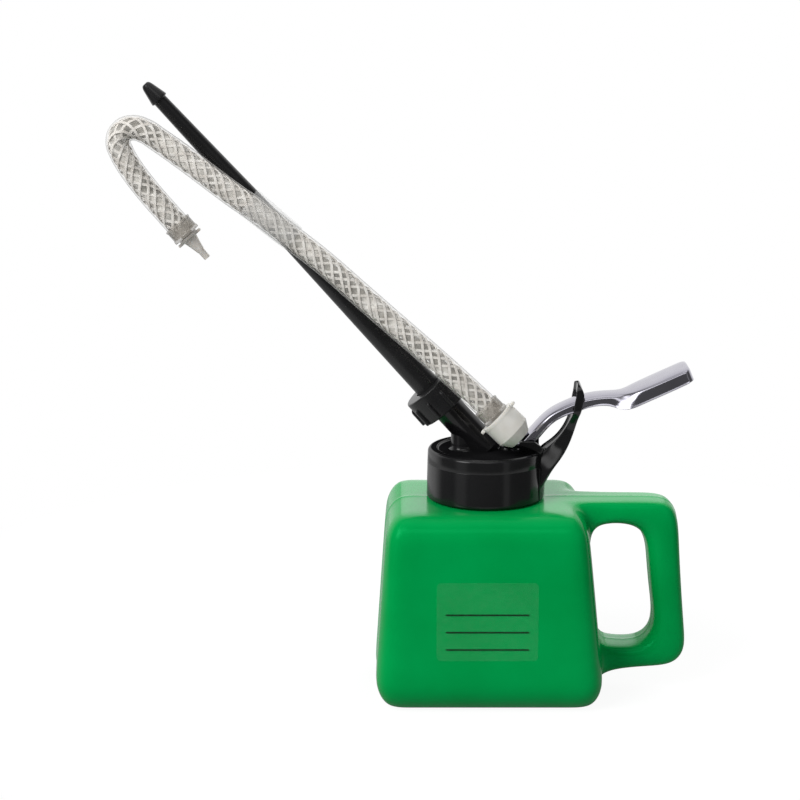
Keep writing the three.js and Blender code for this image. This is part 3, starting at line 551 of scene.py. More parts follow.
bottle = {
    "base": (102, 82), "top": (87, 76), "height": 88, "footShift": 1.6, "wall": 1.8,
    "acrossCuts": (-34, -22, 0, 22, 34), "deepCuts": (-24, -12, -7.5, -0.8, 0, 0.8, 7.5, 12, 24),
    "highCuts": (8.4, 15.4, 22.4, 48, 74.8, 80.5),
    "insets": {0: 5.6, 8.4: 0.5, 80.5: 0.4, 88: 5.0},
    "seam": 0.45, "gripCorner": 0.9, "cornerShares": (0.14, 0.9), "gripHalf": 12,
    "gripHigh": (74.8, 88), "gripLow": (8.4, 22.4),  # the two roots on the side, as heights
    # the rows of the upper root, as shares from the grip's inner line to its outer one
    "gripShares": {74.8: 0.0, 80.5: 0.43, 88.0: 1.0},
    "mouth": (19, 22.5), "neckFoot": 24.2,
    # the neck from its foot, as radius and height
    "neck": [
        (22.6, 88.0), (22.05, 88.6), (21.95, 90), (21.95, 103.4), (21.85, 104.5), (21.2, 104.6),
    ],
}
# the grip's outer and inner line in the side view, from the upper root to the lower one
gripStations = [
    ((58, 87.9), (52.5, 77.4)), ((72.5, 88.0), (61.5, 77.4)), ((81.0, 87.2), (68.8, 74.8)),
    ((85.4, 81.5), (71.8, 68.0)), ((86.2, 67), (72.6, 60)), ((87.8, 46), (74.0, 46)),
    ((89.4, 29), (75.8, 34.5)), ((90.4, 18.5), (74.8, 26.2)), ((85.5, 12.0), (69.6, 21.6)),
    ((76, 11.0), (62.5, 20.8)), ((63, 10.2), (56, 21.4)),
]

halfWide, halfDeep = (size / 2 for size in bottle["base"])
cage = blockShape((-halfWide, -halfDeep, 0), (halfWide, halfDeep, bottle["height"]))
for axis, places in ((0, bottle["acrossCuts"]), (1, bottle["deepCuts"]), (2, bottle["highCuts"])):
    for place in places:
        at = Vector((0, 0, 0))
        at[axis] = place
        normal = Vector((0, 0, 0))
        normal[axis] = 1
        everything = cage.verts[:] + cage.edges[:] + cage.faces[:]
        bmesh.ops.bisect_plane(cage, geom=everything, plane_co=at, plane_no=normal, dist=0.0001)
for v in cage.verts:
    inset = next((d for z, d in bottle["insets"].items() if abs(v.co.z - z) < 0.01), 0)
    v.co.x = max(inset - halfWide, min(halfWide - inset, v.co.x))
    v.co.y = max(inset - halfDeep, min(halfDeep - inset, v.co.y))
    t = v.co.z / bottle["height"]
    narrow = 1 + t * (bottle["top"][0] / bottle["base"][0] - 1)
    v.co.x = v.co.x * narrow + bottle["footShift"] * (1 - t)
    v.co.y = v.co.y * (1 + t * (bottle["top"][1] / bottle["base"][1] - 1))


def sideFaces(low, high):
    found = []
    for f in cage.faces:
        middle = f.calc_center_median()
        onGrip = abs(middle.y) < bottle["gripHalf"] - 0.1 and low < middle.z < high
        if onGrip and middle.x > 40 and f.normal.x > 0.5:
            found.append(f)
    return found


cage.normal_update()
ends = sideFaces(*bottle["gripHigh"])
lowerRoot = sideFaces(*bottle["gripLow"])
rowNow = {}  # the share of each row, by the place of its points
for f in ends:
    for v in f.verts:
        row = min(bottle["gripShares"], key=lambda z: abs(z - v.co.z))
        rowNow[v.co.copy().freeze()] = bottle["gripShares"][row]
for outer, inner in gripStations:
    grown = bmesh.ops.extrude_face_region(cage, geom=ends)["geom"]
    inside = [f for f in ends if f.is_valid]
    ends = [g for g in grown if isFace(g)]
    bmesh.ops.delete(cage, geom=inside, context="FACES")
    following = {}
    for v in (g for g in grown if isVert(g)):
        share = rowNow[v.co.copy().freeze()]
        y = min(bottle["deepCuts"][1:-1], key=lambda c: abs(v.co.y - c))
        away = share
        deep = y
        # the corners are drawn in, so that the grip is round
        if abs(y) == bottle["gripHalf"] and share in (0, 1):
            away = bottle["cornerShares"][int(share)]
            deep = y * bottle["gripCorner"]
        x = inner[0] + away * (outer[0] - inner[0])
        z = inner[1] + away * (outer[1] - inner[1])
        v.co = (x, deep, z)
        following[v.co.copy().freeze()] = share
    rowNow = following

bmesh.ops.delete(cage, geom=ends + lowerRoot, context="FACES_ONLY")
loose = [e for e in cage.edges if not e.link_faces]
bmesh.ops.delete(cage, geom=loose, context="EDGES")
stray = [v for v in cage.verts if not v.link_edges]
bmesh.ops.delete(cage, geom=stray, context="VERTS")
rims = [e for e in cage.edges if len(e.link_faces) == 1]
bmesh.ops.bridge_loops(cage, edges=rims)

# a raised line where the two halves of the mould met
cage.normal_update()
for v in cage.verts:
    if abs(v.co.y) < 0.01 and v.co.z > 0.5:
        v.co += v.normal * bottle["seam"]

# the neck rises out of the top
mouth = []
for f in cage.faces:
    middle = f.calc_center_median()
    inMouth = abs(middle.x) < bottle["mouth"][0] and abs(middle.y) < bottle["mouth"][1]
    if inMouth and middle.z > bottle["height"] - 0.5 and f.normal.z > 0.9:
        mouth.append(f)
bmesh.ops.delete(cage, geom=mouth, context="FACES")
rim = [e for e in cage.edges if len(e.link_faces) == 1]
for v in {v for e in rim for v in e.verts}:
    flat = Vector((v.co.x, v.co.y, 0)).normalized() * bottle["neckFoot"]
    v.co = (flat.x, flat.y, bottle["height"])
for radius, height in bottle["neck"]:
    grown = bmesh.ops.extrude_edge_only(cage, edges=rim)["geom"]
    fresh = [g for g in grown if isVert(g)]
    rim = [g for g in grown if isEdge(g) and all(v in fresh for v in g.verts)]
    # evenly spaced, so that the neck is round
    fresh.sort(key=lambda v: round(atan2(v.co.y, v.co.x), 4) % (2 * pi))
    for i, v in enumerate(fresh):
        angle = 2 * pi * i / len(fresh)
        v.co = (radius * cos(angle), radius * sin(angle), height)
bmesh.ops.recalc_face_normals(cage, faces=cage.faces)
oilBottle = setPiece("oilBottle", cage, greenPlastic, "bottle", ["reservoir"], sharp=None)
addSubdivision(oilBottle, 3)
wall = oilBottle.modifiers.new("wall", "SOLIDIFY")
wall.thickness = bottle["wall"] * millimetre
wall.offset = -1
print("bottle made")


# Cap: skirt and dished top, horn with its eye, guides, plunger's ring, boss and outlet neck

cap = {
    "skirt": 26, "topRadius": 25.5, "edge": 1.7, "bottom": 88.8, "ceiling": 107.3, "top": 110.6,
    "bore": 23.1, "rim": 21.2, "floor": 109.9, "step": 104.4,
    "foot": (18.5, 113.5), "eye": 7.0, "guide": 2.4,
    "rodX": 10.4, "rodHole": 2.4, "rodRing": 4.2, "rootTurn": 27,
    "bossX": -9.8, "bossRadius": 5.5, "bossTop": 118.2, "elbow": 120.8, "lean": -42.5, "neck": 6.7,
    # the horn's root, a shallow pad down the skirt, as radius and height
    "pad": [(25.2, 89.2), (26.25, 89.4), (26.4, 96), (26.3, 103.4), (25.2, 104.2)],
}
horn = {
    # half the width at heights from the lever's foot
    "halves": [
        (-22, 12), (-11.5, 11.6), (-6, 8.2), (-1.5, 5.1), (3, 4.6), (7.6, 4.9), (11, 6.4), (14.1, 9.0),
        (30, 9.0),
    ],
    # inner and outer points of the side view, from the lever's foot
    "stations": [
        ((5.0, -13.5), (6.6, -22.0)), ((5.2, -9.4), (8.2, -18.6)), ((5.4, -6.0), (9.9, -15.4)),
        ((6.6, -3.3), (11.9, -11.6)),
        ((9.6, -1.0), (14.4, -7.2)), ((12.6, 1.6), (17.0, -2.9)), ((15.1, 4.7), (19.2, 2.0)),
        ((17.0, 8.0), (20.7, 6.9)), ((18.3, 10.9), (21.6, 10.6)), ((19.1, 13.2), (22.4, 13.2)),
        ((19.5, 14.7), (23.0, 14.7)), ((19.8, 18.0), (23.5, 18.0)), ((20.2, 20.0), (24.0, 20.6)),
        ((20.4, 20.9), (24.2, 21.9)), ((20.7, 23.4), (23.8, 23.9)), ((20.9, 26.0), (22.6, 26.0)),
    ],
    "eyeFrom": 9, "eyeTo": 13, "hollow": 0.7, "columns": (1, 0.89, 0.78, 0.62),
    "bendFrom": -4, "bendOver": 8,
}
spoutTurn = Matrix.Rotation(radians(cap["lean"]), 4, "Y")
spoutPlace = Matrix.Translation((cap["bossX"], 0, cap["elbow"])) @ spoutTurn


def rounding(middle, radius, start, end, steps):
    turns = [radians(start + (end - start) * i / steps) for i in range(steps + 1)]
    return [(middle[0] + radius * cos(t), middle[1] + radius * sin(t)) for t in turns]


def fromFoot(points):
    return [(cap["foot"][0] + x, cap["foot"][1] + z) for x, z in points]


edgeMiddle = (cap["topRadius"] - cap["edge"], cap["top"] - cap["edge"])
capShape = turnedShape([
    (0, cap["floor"]), (12, cap["floor"]),
    *rounding((cap["rim"] - 0.6, cap["floor"] + 0.6), 0.6, -90, 0, 4),
    *rounding((cap["rim"] + 0.45, cap["top"] - 0.45), 0.45, 180, 90, 4),
    *rounding(edgeMiddle, cap["edge"], 90, 0, 7),
    (cap["topRadius"] + 0.15, cap["step"] + 0.12), (cap["topRadius"] + 0.12, cap["step"]),
    (cap["topRadius"] + 0.17, cap["step"] - 0.12),
    (cap["skirt"] - 0.05, cap["bottom"] + 2),
    *rounding((cap["skirt"] - 0.7, cap["bottom"] + 0.7), 0.7, 0, -90, 4),
    (cap["bore"], cap["bottom"]), (cap["bore"], cap["ceiling"]), (0, cap["ceiling"]),
], 128, closed=False)
rodHole = bmesh.new()
bmesh.ops.create_cone(
    rodHole, cap_ends=True, segments=40, radius1=cap["rodHole"], radius2=cap["rodHole"], depth=20,
    matrix=Matrix.Translation((cap["rodX"], 0, cap["floor"])),
)
capShape = carved(capShape, rodHole)
ringOutline = [
    (cap["rodHole"], cap["floor"] - 0.5), (cap["rodRing"] + 0.7, cap["floor"] - 0.1),
    (cap["rodRing"] + 0.2, cap["floor"] + 0.5),
    *rounding((cap["rodRing"] - 0.6, cap["top"] + 0.2), 0.6, 0, 90, 4),
    *rounding((cap["rodHole"] + 0.3, cap["top"] + 0.5), 0.3, 90, 180, 3),
]
joinShape(capShape, turnedShape(ringOutline, 48), Matrix.Translation((cap["rodX"], 0, 0)))


def hornHalf(z):
    table = horn["halves"]
    for (z0, h0), (z1, h1) in zip(table, table[1:]):
        if z <= z1:
            return h0 + (h1 - h0) * (z - z0) / (z1 - z0)
    return table[-1][1]


def hornRow(inner, outer):
    near = hornHalf(inner[1])
    far = hornHalf(outer[1])
    columns = [*horn["columns"], *(-c for c in reversed(horn["columns"]))]
    away = Vector((outer[0] - inner[0], 0, outer[1] - inner[1])).normalized()
    first = Vector((inner[0], 0, inner[1]))
    last = Vector((outer[0], 0, outer[1]))
    row = []
    for c in columns:
        deep = horn["hollow"] if abs(c) < 0.85 else 0
        row.append(first + away * deep + Vector((0, c * near, 0)))
    row.append((first + last) / 2 - Vector((0, (near + far) / 2, 0)))
    row += [last - Vector((0, c * far, 0)) for c in columns]
    row.append((first + last) / 2 + Vector((0, (near + far) / 2, 0)))
    for p in row:  # the root follows the skirt round
        bend = max(0, min(1, (horn["bendFrom"] - p.z) / horn["bendOver"]))
        p.x -= bend * (cap["skirt"] - sqrt(cap["skirt"] ** 2 - p.y ** 2))
    lift = Vector((cap["foot"][0], 0, cap["foot"][1]))
    return [p + lift for p in row]


hornShape = bmesh.new()
ring = [hornShape.verts.new(p) for p in hornRow(*horn["stations"][0])]
edges = [hornShape.edges.new((ring[i], ring[i - 1])) for i in range(len(ring))]
hornShape.faces.new(ring)
rings = [ring]
for pair in horn["stations"][1:]:
    edges, ring = growRing(hornShape, edges, ring, hornRow(*pair))
    rings.append(ring)
hornShape.faces.new(ring)
# the eye: the middle faces of both sides come out, and the two openings are joined through the horn
opening = []
for i in range(horn["eyeFrom"], horn["eyeTo"]):
    for side in (range(2, 5), range(11, 14)):
        for k in side:
            corners = {rings[i][k], rings[i][k + 1], rings[i + 1][k], rings[i + 1][k + 1]}
            opening += [f for f in rings[i][k].link_faces if set(f.verts) == corners]
bmesh.ops.delete(hornShape, geom=opening, context="FACES")
loose = [e for e in hornShape.edges if not e.link_faces]
bmesh.ops.delete(hornShape, geom=loose, context="EDGES")
rims = [e for e in hornShape.edges if len(e.link_faces) == 1]
throughEye = bmesh.ops.bridge_loops(hornShape, edges=rims)["edges"]
bmesh.ops.subdivide_edges(hornShape, edges=throughEye, cuts=1, use_grid_fill=True)
bmesh.ops.recalc_face_normals(hornShape, faces=hornShape.faces)
bentHorn = setPiece("bentHorn", hornShape, blackNylon, "head", [], sharp=None)
addSubdivision(bentHorn, 3)

padShape = bmesh.new()
padPoints = [padShape.verts.new((r, 0, z)) for r, z in cap["pad"]]
padFace = padShape.faces.new(padPoints)
bmesh.ops.spin(
    padShape, geom=padPoints + padShape.edges[:] + [padFace], cent=(0, 0, 0), axis=(0, 0, 1),
    angle=radians(2 * cap["rootTurn"]), steps=20, use_duplicate=False,
)
padTurn = Matrix.Rotation(radians(-cap["rootTurn"]), 3, "Z")
bmesh.ops.rotate(padShape, verts=padShape.verts, matrix=padTurn)
bmesh.ops.recalc_face_normals(padShape, faces=padShape.faces)
joinShape(capShape, softenEdges(padShape, 0.25, 2, 40))

footX = cap["foot"][0]
guideLine = [(footX - 4, cap["floor"] - 0.5), (footX + 5.6, cap["floor"] - 0.5)]
guideLine += rounding((footX + 4.6, cap["top"] + 1.7), 1, 0, 60, 4)
guideLine += [(footX + 2.6, cap["top"] + 4.3), (footX + 1.6, cap["top"] + 4.6)]
guideLine += rounding((footX - 2.6, cap["top"] + 3.2), 1.4, 90, 180, 5)
for low, high in ((-cap["eye"] - cap["guide"], -cap["eye"]), (cap["eye"], cap["eye"] + cap["guide"])):
    joinShape(capShape, softenEdges(plateShape(guideLine, low, high), 0.45, 3, 40))

bossOutline = [
    (0, cap["floor"] - 0.8), (cap["bossRadius"] + 1.1, cap["floor"] - 0.1),
    (cap["bossRadius"] + 0.45, cap["floor"] + 0.35), (cap["bossRadius"] + 0.1, cap["floor"] + 1.1),
    (cap["bossRadius"], cap["floor"] + 2.2),
    *rounding((cap["bossRadius"] - 1.2, cap["bossTop"] - 1.2), 1.2, 0, 90, 5), (0, cap["bossTop"]),
]
joinShape(capShape, turnedShape(bossOutline, 64, closed=False), Matrix.Translation((cap["bossX"], 0, 0)))
neckOutline = [
    (0, -15), (cap["neck"], -15), (cap["neck"], 10.4), (cap["neck"] + 0.3, 11.4), (cap["neck"] + 1.2, 12.3),
    (9.2, 12.6), (9.2, 16.6), (4.7, 16.6), (4.7, 2), (0, 2),
]
neckShape = turnedShape(neckOutline, 64, closed=False)
bmesh.ops.transform(neckShape, matrix=spoutPlace, verts=neckShape.verts)
bmesh.ops.bisect_plane(
    neckShape, geom=neckShape.verts[:] + neckShape.edges[:] + neckShape.faces[:],
    plane_co=(0, 0, cap["floor"] - 0.6), plane_no=(0, 0, 1), clear_inner=True,
)
bmesh.ops.holes_fill(neckShape, edges=[e for e in neckShape.edges if len(e.link_faces) == 1])
joinShape(capShape, neckShape)
setPiece("pumpCap", capShape, blackNylon, "head", ["pump_cap"], sharp=32)
print("cap made")


# Plunger: the rod's head comes up through the cap, with a pin across it for the lever's fingers

plunger = {
    "low": 65.4, "neck": 113.45, "top": 116.95, "radius": 2, "head": 2.7,
    "cross": 115.25, "pin": 1.3, "half": 7.2,
}
rodShape = turnedShape([
    (0, plunger["low"]), (plunger["radius"] - 0.4, plunger["low"]),
    (plunger["radius"], plunger["low"] + 0.4),
    (plunger["radius"], plunger["neck"] - 0.6), (plunger["head"], plunger["neck"]),
    *rounding((plunger["head"] - 0.6, plunger["top"] - 0.6), 0.6, 0, 90, 5), (0, plunger["top"]),
], 40, closed=False)
half = plunger["half"]
crossShape = turnedShape([
    (0, -half), (0.8, -half + 0.06), (1.15, -half + 0.3), (plunger["pin"], -half + 0.6),
    (plunger["pin"], half - 0.6), (1.15, half - 0.3), (0.8, half - 0.06), (0, half),
], 32, closed=False)
crossTurn = Matrix.Rotation(pi / 2, 4, "X")
joinShape(rodShape, crossShape, Matrix.Translation((0, 0, plunger["cross"])) @ crossTurn)
setPiece(
    "plungerRod", joinShape(bmesh.new(), rodShape, Matrix.Translation((cap["rodX"], 0, 0))),
    plainSteel, "plunger", ["plunger_rod", "plunger_cross_pin"],
)
print("plunger made")


# Return spring round the rod, drawn at one length; in the pump it is pressed together as the plunger rises

spring = {
    "radius": 4.6, "wire": 0.45, "low": 73.55, "high": 89.7, "curls": 6, "anchor": 90.45, "keep": 0.585,
}
springShape = bmesh.new()
wireTurn = Matrix.Translation((spring["radius"], 0, spring["low"])) @ Matrix.Rotation(pi / 2, 4, "X")
bmesh.ops.create_circle(springShape, cap_ends=True, segments=10, radius=spring["wire"], matrix=wireTurn)
springSteps = 24 * spring["curls"]
bmesh.ops.spin(
    springShape, geom=springShape.verts[:] + springShape.edges[:] + springShape.faces[:],
    cent=(0, 0, 0), axis=(0, 0, 1), dvec=(0, 0, (spring["high"] - spring["low"]) / springSteps),
    angle=2 * pi * spring["curls"], steps=springSteps, use_duplicate=False,
)
bmesh.ops.recalc_face_normals(springShape, faces=springShape.faces)
returnSpring = setPiece(
    "returnSpring", joinShape(bmesh.new(), springShape, Matrix.Translation((cap["rodX"], 0, 0))),
    plainSteel, "head", ["return_spring"], sharp=50,
)
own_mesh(returnSpring)
print("spring made")


# Lever: a pressed channel drawn along its top line, closed at the pad's end, with two fingers at its foot

lever = {
    "sheet": 1.3, "stem": 6.5, "pad": 10.5, "narrow": 39.0, "wide": 50.0, "flare": 35.5, "flared": 43.5,
    "inEye": (16, 27), "lip": 0.3, "eyeLip": 0.1, "roll": 0.25,
    # along the top: X and Z from the foot, and the depth of the sides
    "line": [
        (0.3, 4.2, 4.0), (2.0, 6.2, 4.0), (4.4, 9.0, 3.9), (6.9, 11.6, 3.8), (9.4, 13.7, 3.8),
        (12.3, 15.5, 3.9), (15.6, 17.1, 4.0), (18.8, 18.5, 4.3), (21.7, 19.6, 4.5), (24.5, 20.6, 4.2),
        (30, 21.6, 4.1), (34, 21.9, 4.3), (36.4, 22.0, 4.8), (38.2, 22.1, 5.7), (40.2, 22.3, 6.2),
        (42.4, 22.8, 6.3), (44.6, 23.6, 6.2), (47.5, 24.8, 6.0), (55, 28.2, 6.0), (61.5, 31.2, 6.0),
        (65.6, 33.1, 5.9), (66.8, 33.6, 5.8),
    ],
    # past the last of them: how far on, and the shares of width and depth that are left
    "end": [
        (1.1, 0.98, 1.0), (2.1, 0.9, 0.985), (2.75, 0.79, 0.94), (3.0, 0.64, 0.8), (3.05, 0.4, 0.5),
        (3.05, 0.12, 0.12),
    ],
}


def leverHalf(x, start, end):
    t = max(0, min(1, (x - start) / (end - start)))
    return lever["stem"] + (lever["pad"] - lever["stem"]) * t * t * (3 - 2 * t)


def leverRow(i):
    x, z, deep = lever["line"][i]
    near = lever["line"][max(i - 1, 0)]
    far = lever["line"][min(i + 1, len(lever["line"]) - 1)]
    ahead = Vector((far[0] - near[0], 0, far[1] - near[1])).normalized()
    down = Vector((ahead.z, 0, -ahead.x))
    half = leverHalf(x, lever["narrow"], lever["wide"])
    low = leverHalf(x, lever["flare"], lever["flared"])  # the sides flare out before the top widens
    middle = Vector((x, 0, z))
    # the lower edge is rolled out a little, and less in the horn's eye
    lip = lever["eyeLip"] if lever["inEye"][0] < x < lever["inEye"][1] else lever["lip"]
    across = [
        (low + lip, deep), (low + lip - 0.2, deep - 0.4), (low - 0.15, deep - 0.9),
        ((half + low) / 2, deep * 0.52), (half - 0.12, 1.5), (half - 0.7, 0.65),
        (half - 2.0, 0.1), (half * 0.4, -0.2),
    ]
    across += [(0, -0.25)] + [(-w, d) for w, d in reversed(across)]
    return [middle + Vector((0, w, 0)) + down * d for w, d in across], ahead, middle + down * deep


leverShape = bmesh.new()
rows = [leverRow(i) for i in range(len(lever["line"]))]
endRow, endAhead, endFoot = rows[-1]
stations = [row for row, ahead, foot in rows]
for step, width, depth in lever["end"]:
    row = [endFoot + (p - endFoot) * depth + endAhead * step for p in endRow]
    stations.append([Vector((p.x, old.y * width, p.z)) for p, old in zip(row, endRow)])
chain = [leverShape.verts.new(p) for p in stations[0]]
edges = [leverShape.edges.new(pair) for pair in zip(chain, chain[1:])]
for row in stations[1:]:
    edges, chain = growRing(leverShape, edges, chain, row)
bmesh.ops.recalc_face_normals(leverShape, faces=leverShape.faces)
if sum(f.normal.z * f.calc_area() for f in leverShape.faces) < 0:
    bmesh.ops.reverse_faces(leverShape, faces=leverShape.faces)
bmesh.ops.translate(leverShape, verts=leverShape.verts, vec=(cap["foot"][0], 0, cap["foot"][1]))
thumbLever = setPiece(
    "thumbLever", leverShape, brightPlate, "thumb_lever", ["lever"], sharp=None,
)
addSubdivision(thumbLever, 3)
sheet = thumbLever.modifiers.new("sheet", "SOLIDIFY")
sheet.thickness = lever["sheet"] * millimetre
sheet.offset = -1
rolled = thumbLever.modifiers.new("rolled", "BEVEL")
rolled.width = lever["roll"] * millimetre
rolled.segments = 2
rolled.limit_method = "ANGLE"
rolled.angle_limit = radians(50)

fingerTip = (8.9, 112.5)
fingerLine = fromFoot([(1.2, 4.6), (3.0, 6.2), (5.0, 4.6), (4.2, 3.0), (2.6, 0.6)])
fingerLine += [(18.9, 112.2), (17.6, 111.5), (15.9, 111.3)] + rounding(fingerTip, 1.2, -90, -270, 8)
fingerLine += [(14.3, 113.7), (15.9, 114.1), (17.2, 115.2)]
fingers = bmesh.new()
for low, high in ((-6.4, -5.1), (5.1, 6.4)):
    joinShape(fingers, softenEdges(plateShape(fingerLine, low, high), 0.2, 2, 40))
setPiece("leverFingers", fingers, brightPlate, "thumb_lever", [])
print("lever made")


# Spout and its union nut

spout = {
    "spigot": 4.4, "flange": 9.45, "root": 5.85, "rootEnd": 23.5, "tip": 3.05,
    "barb": 3.95, "barbFrom": 193, "length": 202.4,
}
spoutShape = turnedShape([
    (spout["spigot"], 10.6), (spout["spigot"], 18.6), (spout["flange"], 18.6), (spout["flange"], 20.3),
    (spout["root"], 20.5), (spout["root"], spout["rootEnd"]), (spout["tip"], spout["barbFrom"]),
    (spout["barb"], spout["barbFrom"] + 0.4), (spout["barb"] - 0.1, spout["barbFrom"] + 1.2),
    (2.45, spout["length"] - 1.9), (2.1, spout["length"] - 0.9), (1.65, spout["length"] - 0.25),
    (1.2, spout["length"]), (1.0, spout["length"] - 0.2), (1.0, spout["length"] - 3),
    (3.4, 43.5), (3.4, 14.6), (1.9, 13.6), (1.9, 10.6),
], 72)
softenEdges(spoutShape, 0.18, 3, 12, lambda e: e.verts[0].co.xy.length > 1.4)
setPiece(
    "longSpout", joinShape(bmesh.new(), spoutShape, spoutPlace),
    satinNylon, "head", ["spout"],
)

nut = {
    "bore": 10.05, "radius": 12.3, "from": 11, "to": 23.5, "lip": 6.45,
    "ribs": 10, "rib": 1.3, "ribWidth": 1.5,
}
nutShape = turnedShape([
    (nut["bore"], nut["from"]), (nut["radius"] - 0.3, nut["from"]), (nut["radius"], nut["from"] + 0.3),
    (nut["radius"], nut["to"] - 0.8), *rounding((nut["radius"] - 0.8, nut["to"] - 0.8), 0.8, 15, 90, 5),
    (nut["lip"], nut["to"]), (nut["lip"], nut["to"] - 1.8), (nut["bore"], nut["to"] - 1.8),
], 96)
for i in range(nut["ribs"]):
    ribLine = [
        (nut["radius"] - 1, nut["from"] + 0.4), (nut["radius"] + nut["rib"], nut["from"] + 0.4),
        (nut["radius"] + nut["rib"] - 0.15, nut["to"] - 4.6), (nut["radius"] + 0.4, nut["to"] - 3.4),
        (nut["radius"] - 1, nut["to"] - 3.0),
    ]
    rib = softenEdges(plateShape(ribLine, -nut["ribWidth"] / 2, nut["ribWidth"] / 2), 0.5, 3)
    joinShape(nutShape, rib, Matrix.Rotation(2 * pi * i / nut["ribs"], 4, "Z"))
setPiece(
    "unionNut", joinShape(bmesh.new(), nutShape, spoutPlace),
    satinNylon, "nut", ["union_nut"],
)
print("spout and nut made")


# Clear band round the spout and the hose

band = {"at": 124, "length": 25, "gap": 0.3, "thick": 0.35}
bandShape = bmesh.new()
spoutAlong = (spoutPlace.to_3x3() @ Vector((0, 0, 1))).normalized()
bandMiddle = spoutPlace @ Vector((0, 0, band["at"]))
nearby = hoseFrames[:len(hoseFrames) * 2 // 3]  # without the part that folds back
hosePoint, hoseAlong = min(nearby, key=lambda f: abs((f[0] - bandMiddle).dot(spoutAlong)))[:2]
taper = (spout["tip"] - spout["root"]) / (spout["barbFrom"] - spout["rootEnd"])
for end in (-0.5, 0.5):
    at = band["at"] + end * band["length"]
    radius = spout["root"] + taper * (at - spout["rootEnd"]) + band["gap"]
    along = spoutPlace @ Matrix.Translation((0, 0, at))
    bmesh.ops.create_circle(bandShape, segments=48, radius=radius, matrix=along)
    turn = Vector((0, 0, 1)).rotation_difference(hoseAlong).to_matrix().to_4x4()
    along = Matrix.Translation(hosePoint + hoseAlong * end * band["length"])
    radius = hose["radius"] + band["gap"]
    bmesh.ops.create_circle(bandShape, segments=48, radius=radius, matrix=along @ turn)
bmesh.ops.delete(bandShape, geom=bandShape.edges[:], context="EDGES_FACES")
bmesh.ops.convex_hull(bandShape, input=bandShape.verts)
openEnds = [f for f in bandShape.faces if abs(f.normal.dot(spoutAlong)) > 0.8]
bmesh.ops.delete(bandShape, geom=openEnds, context="FACES")
inside = [v for v in bandShape.verts if not v.link_faces]
bmesh.ops.delete(bandShape, geom=inside, context="VERTS")
hoseBand = setPiece("hoseBand", bandShape, frostedFilm, "head", ["hose_band"], sharp=None)
film = hoseBand.modifiers.new("film", "SOLIDIFY")
film.thickness = band["thick"] * millimetre
film.offset = 1
print("band made")


# Bare film on the front, ruled for writing on

label = {
    "width": 44, "height": 35, "thick": 0.2, "middle": 42.5, "corner": 2,
    "rules": (3.2, -4.6, -12.4), "ruleLength": 36, "ruleWidth": 0.55,
}
faceLean = (bottle["base"][1] - bottle["top"][1]) / 2 / bottle["height"]
corners = []
for x, z, start in ((1, 1, 0), (-1, 1, 90), (-1, -1, 180), (1, -1, 270)):
    middle = (x * (label["width"] / 2 - label["corner"]), z * (label["height"] / 2 - label["corner"]))
    corners += rounding(middle, label["corner"], start, start + 90, 5)
labelShape = softenEdges(plateShape(corners, -label["thick"] / 2, label["thick"] / 2), 0.05, 2, 50)
labelY = -(halfDeep - faceLean * label["middle"]) - label["thick"] / 2 - 0.1
labelPlace = Matrix.Translation((0, labelY, label["middle"])) @ Matrix.Rotation(-faceLean, 4, "X")
labelFilm = mouldedFinish("labelFilm", {
    "dark": (0.12, 0.44, 0.22), "light": (0.22, 0.52, 0.32), "cloud": 300,
    "grain": 1500, "roughness": (0.2, 0.28), "bump": 0.03, "alpha": 0.04, "specular": 0.2,
    "shine": (0.06, 1, 0.45),
})
setPiece(
    "labelFilm", joinShape(bmesh.new(), labelShape, labelPlace),
    labelFilm, "bottle", ["contents_label"],
)
writeInk = mouldedFinish("writeInk", {
    "dark": (0.006, 0.02, 0.012), "light": (0.01, 0.028, 0.016), "cloud": 400,
    "grain": 1500, "roughness": (0.35, 0.45), "bump": 0.02, "specular": 0.1,
})
ruledLines = bmesh.new()
for z in label["rules"]:
    low = (-label["ruleLength"] / 2, -label["thick"] / 2 - 0.05, z - label["ruleWidth"] / 2)
    high = (label["ruleLength"] / 2, -label["thick"] / 2, z + label["ruleWidth"] / 2)
    joinShape(ruledLines, blockShape(low, high))
setPiece("ruledLines", joinShape(bmesh.new(), ruledLines, labelPlace), writeInk, "bottle", [])
print("label made")


# The solids that stay as they are

slotFinish = {
    "black_rubber": softRubber, "white_plastic": whiteNylon, "black_plastic": blackNylon,
    "steel": plainSteel, "milky_plastic": milkyPlastic, "clear_plastic": clearPlastic,
    "clear_hose": hoseVinyl, "clear_film": labelFilm, "green_plastic": greenPlastic,
    "plated_steel": brightPlate,
}
for entry in frame["record"]["subparts"]:
    for place in frame["nodes"][entry["node"]].material_slots:
        place.material = slotFinish[entry["material_slot"]]


# Floor, light and background

stage = {
    "floor": 0.32, "white": 1.3, "nearShare": 0.7, "mirrored": 0.25, "reach": 0.36, "back": 0.1,
    "near": 0.1, "far": 0.3, "world": 0.29, "front": 0.11, "low": 1.3,
    "key": 17.5, "side": 0.7, "rear": 11, "aim": (0, 0, 0.12),
    # pale strips in the room: bearing and half width in degrees, and level
    "strips": [(-51, 13, 0.34), (40, 7, 0.34)],
    # windows in the room: bearing, half width, height and half height in degrees, and level
    "windows": [(-25, 45, 41, 7, 1.6), (-50, 12, 30, 14, 4.0)],
}
floorShape = bmesh.new()
bmesh.ops.create_circle(floorShape, cap_ends=True, segments=96, radius=stage["reach"])
floorMesh = bpy.data.meshes.new("floor")
floorShape.to_mesh(floorMesh)
floorShape.free()
floor = bpy.data.objects.new("floor", floorMesh)
floor.location = (0, stage["back"], -0.0002)
scene.collection.objects.link(floor)

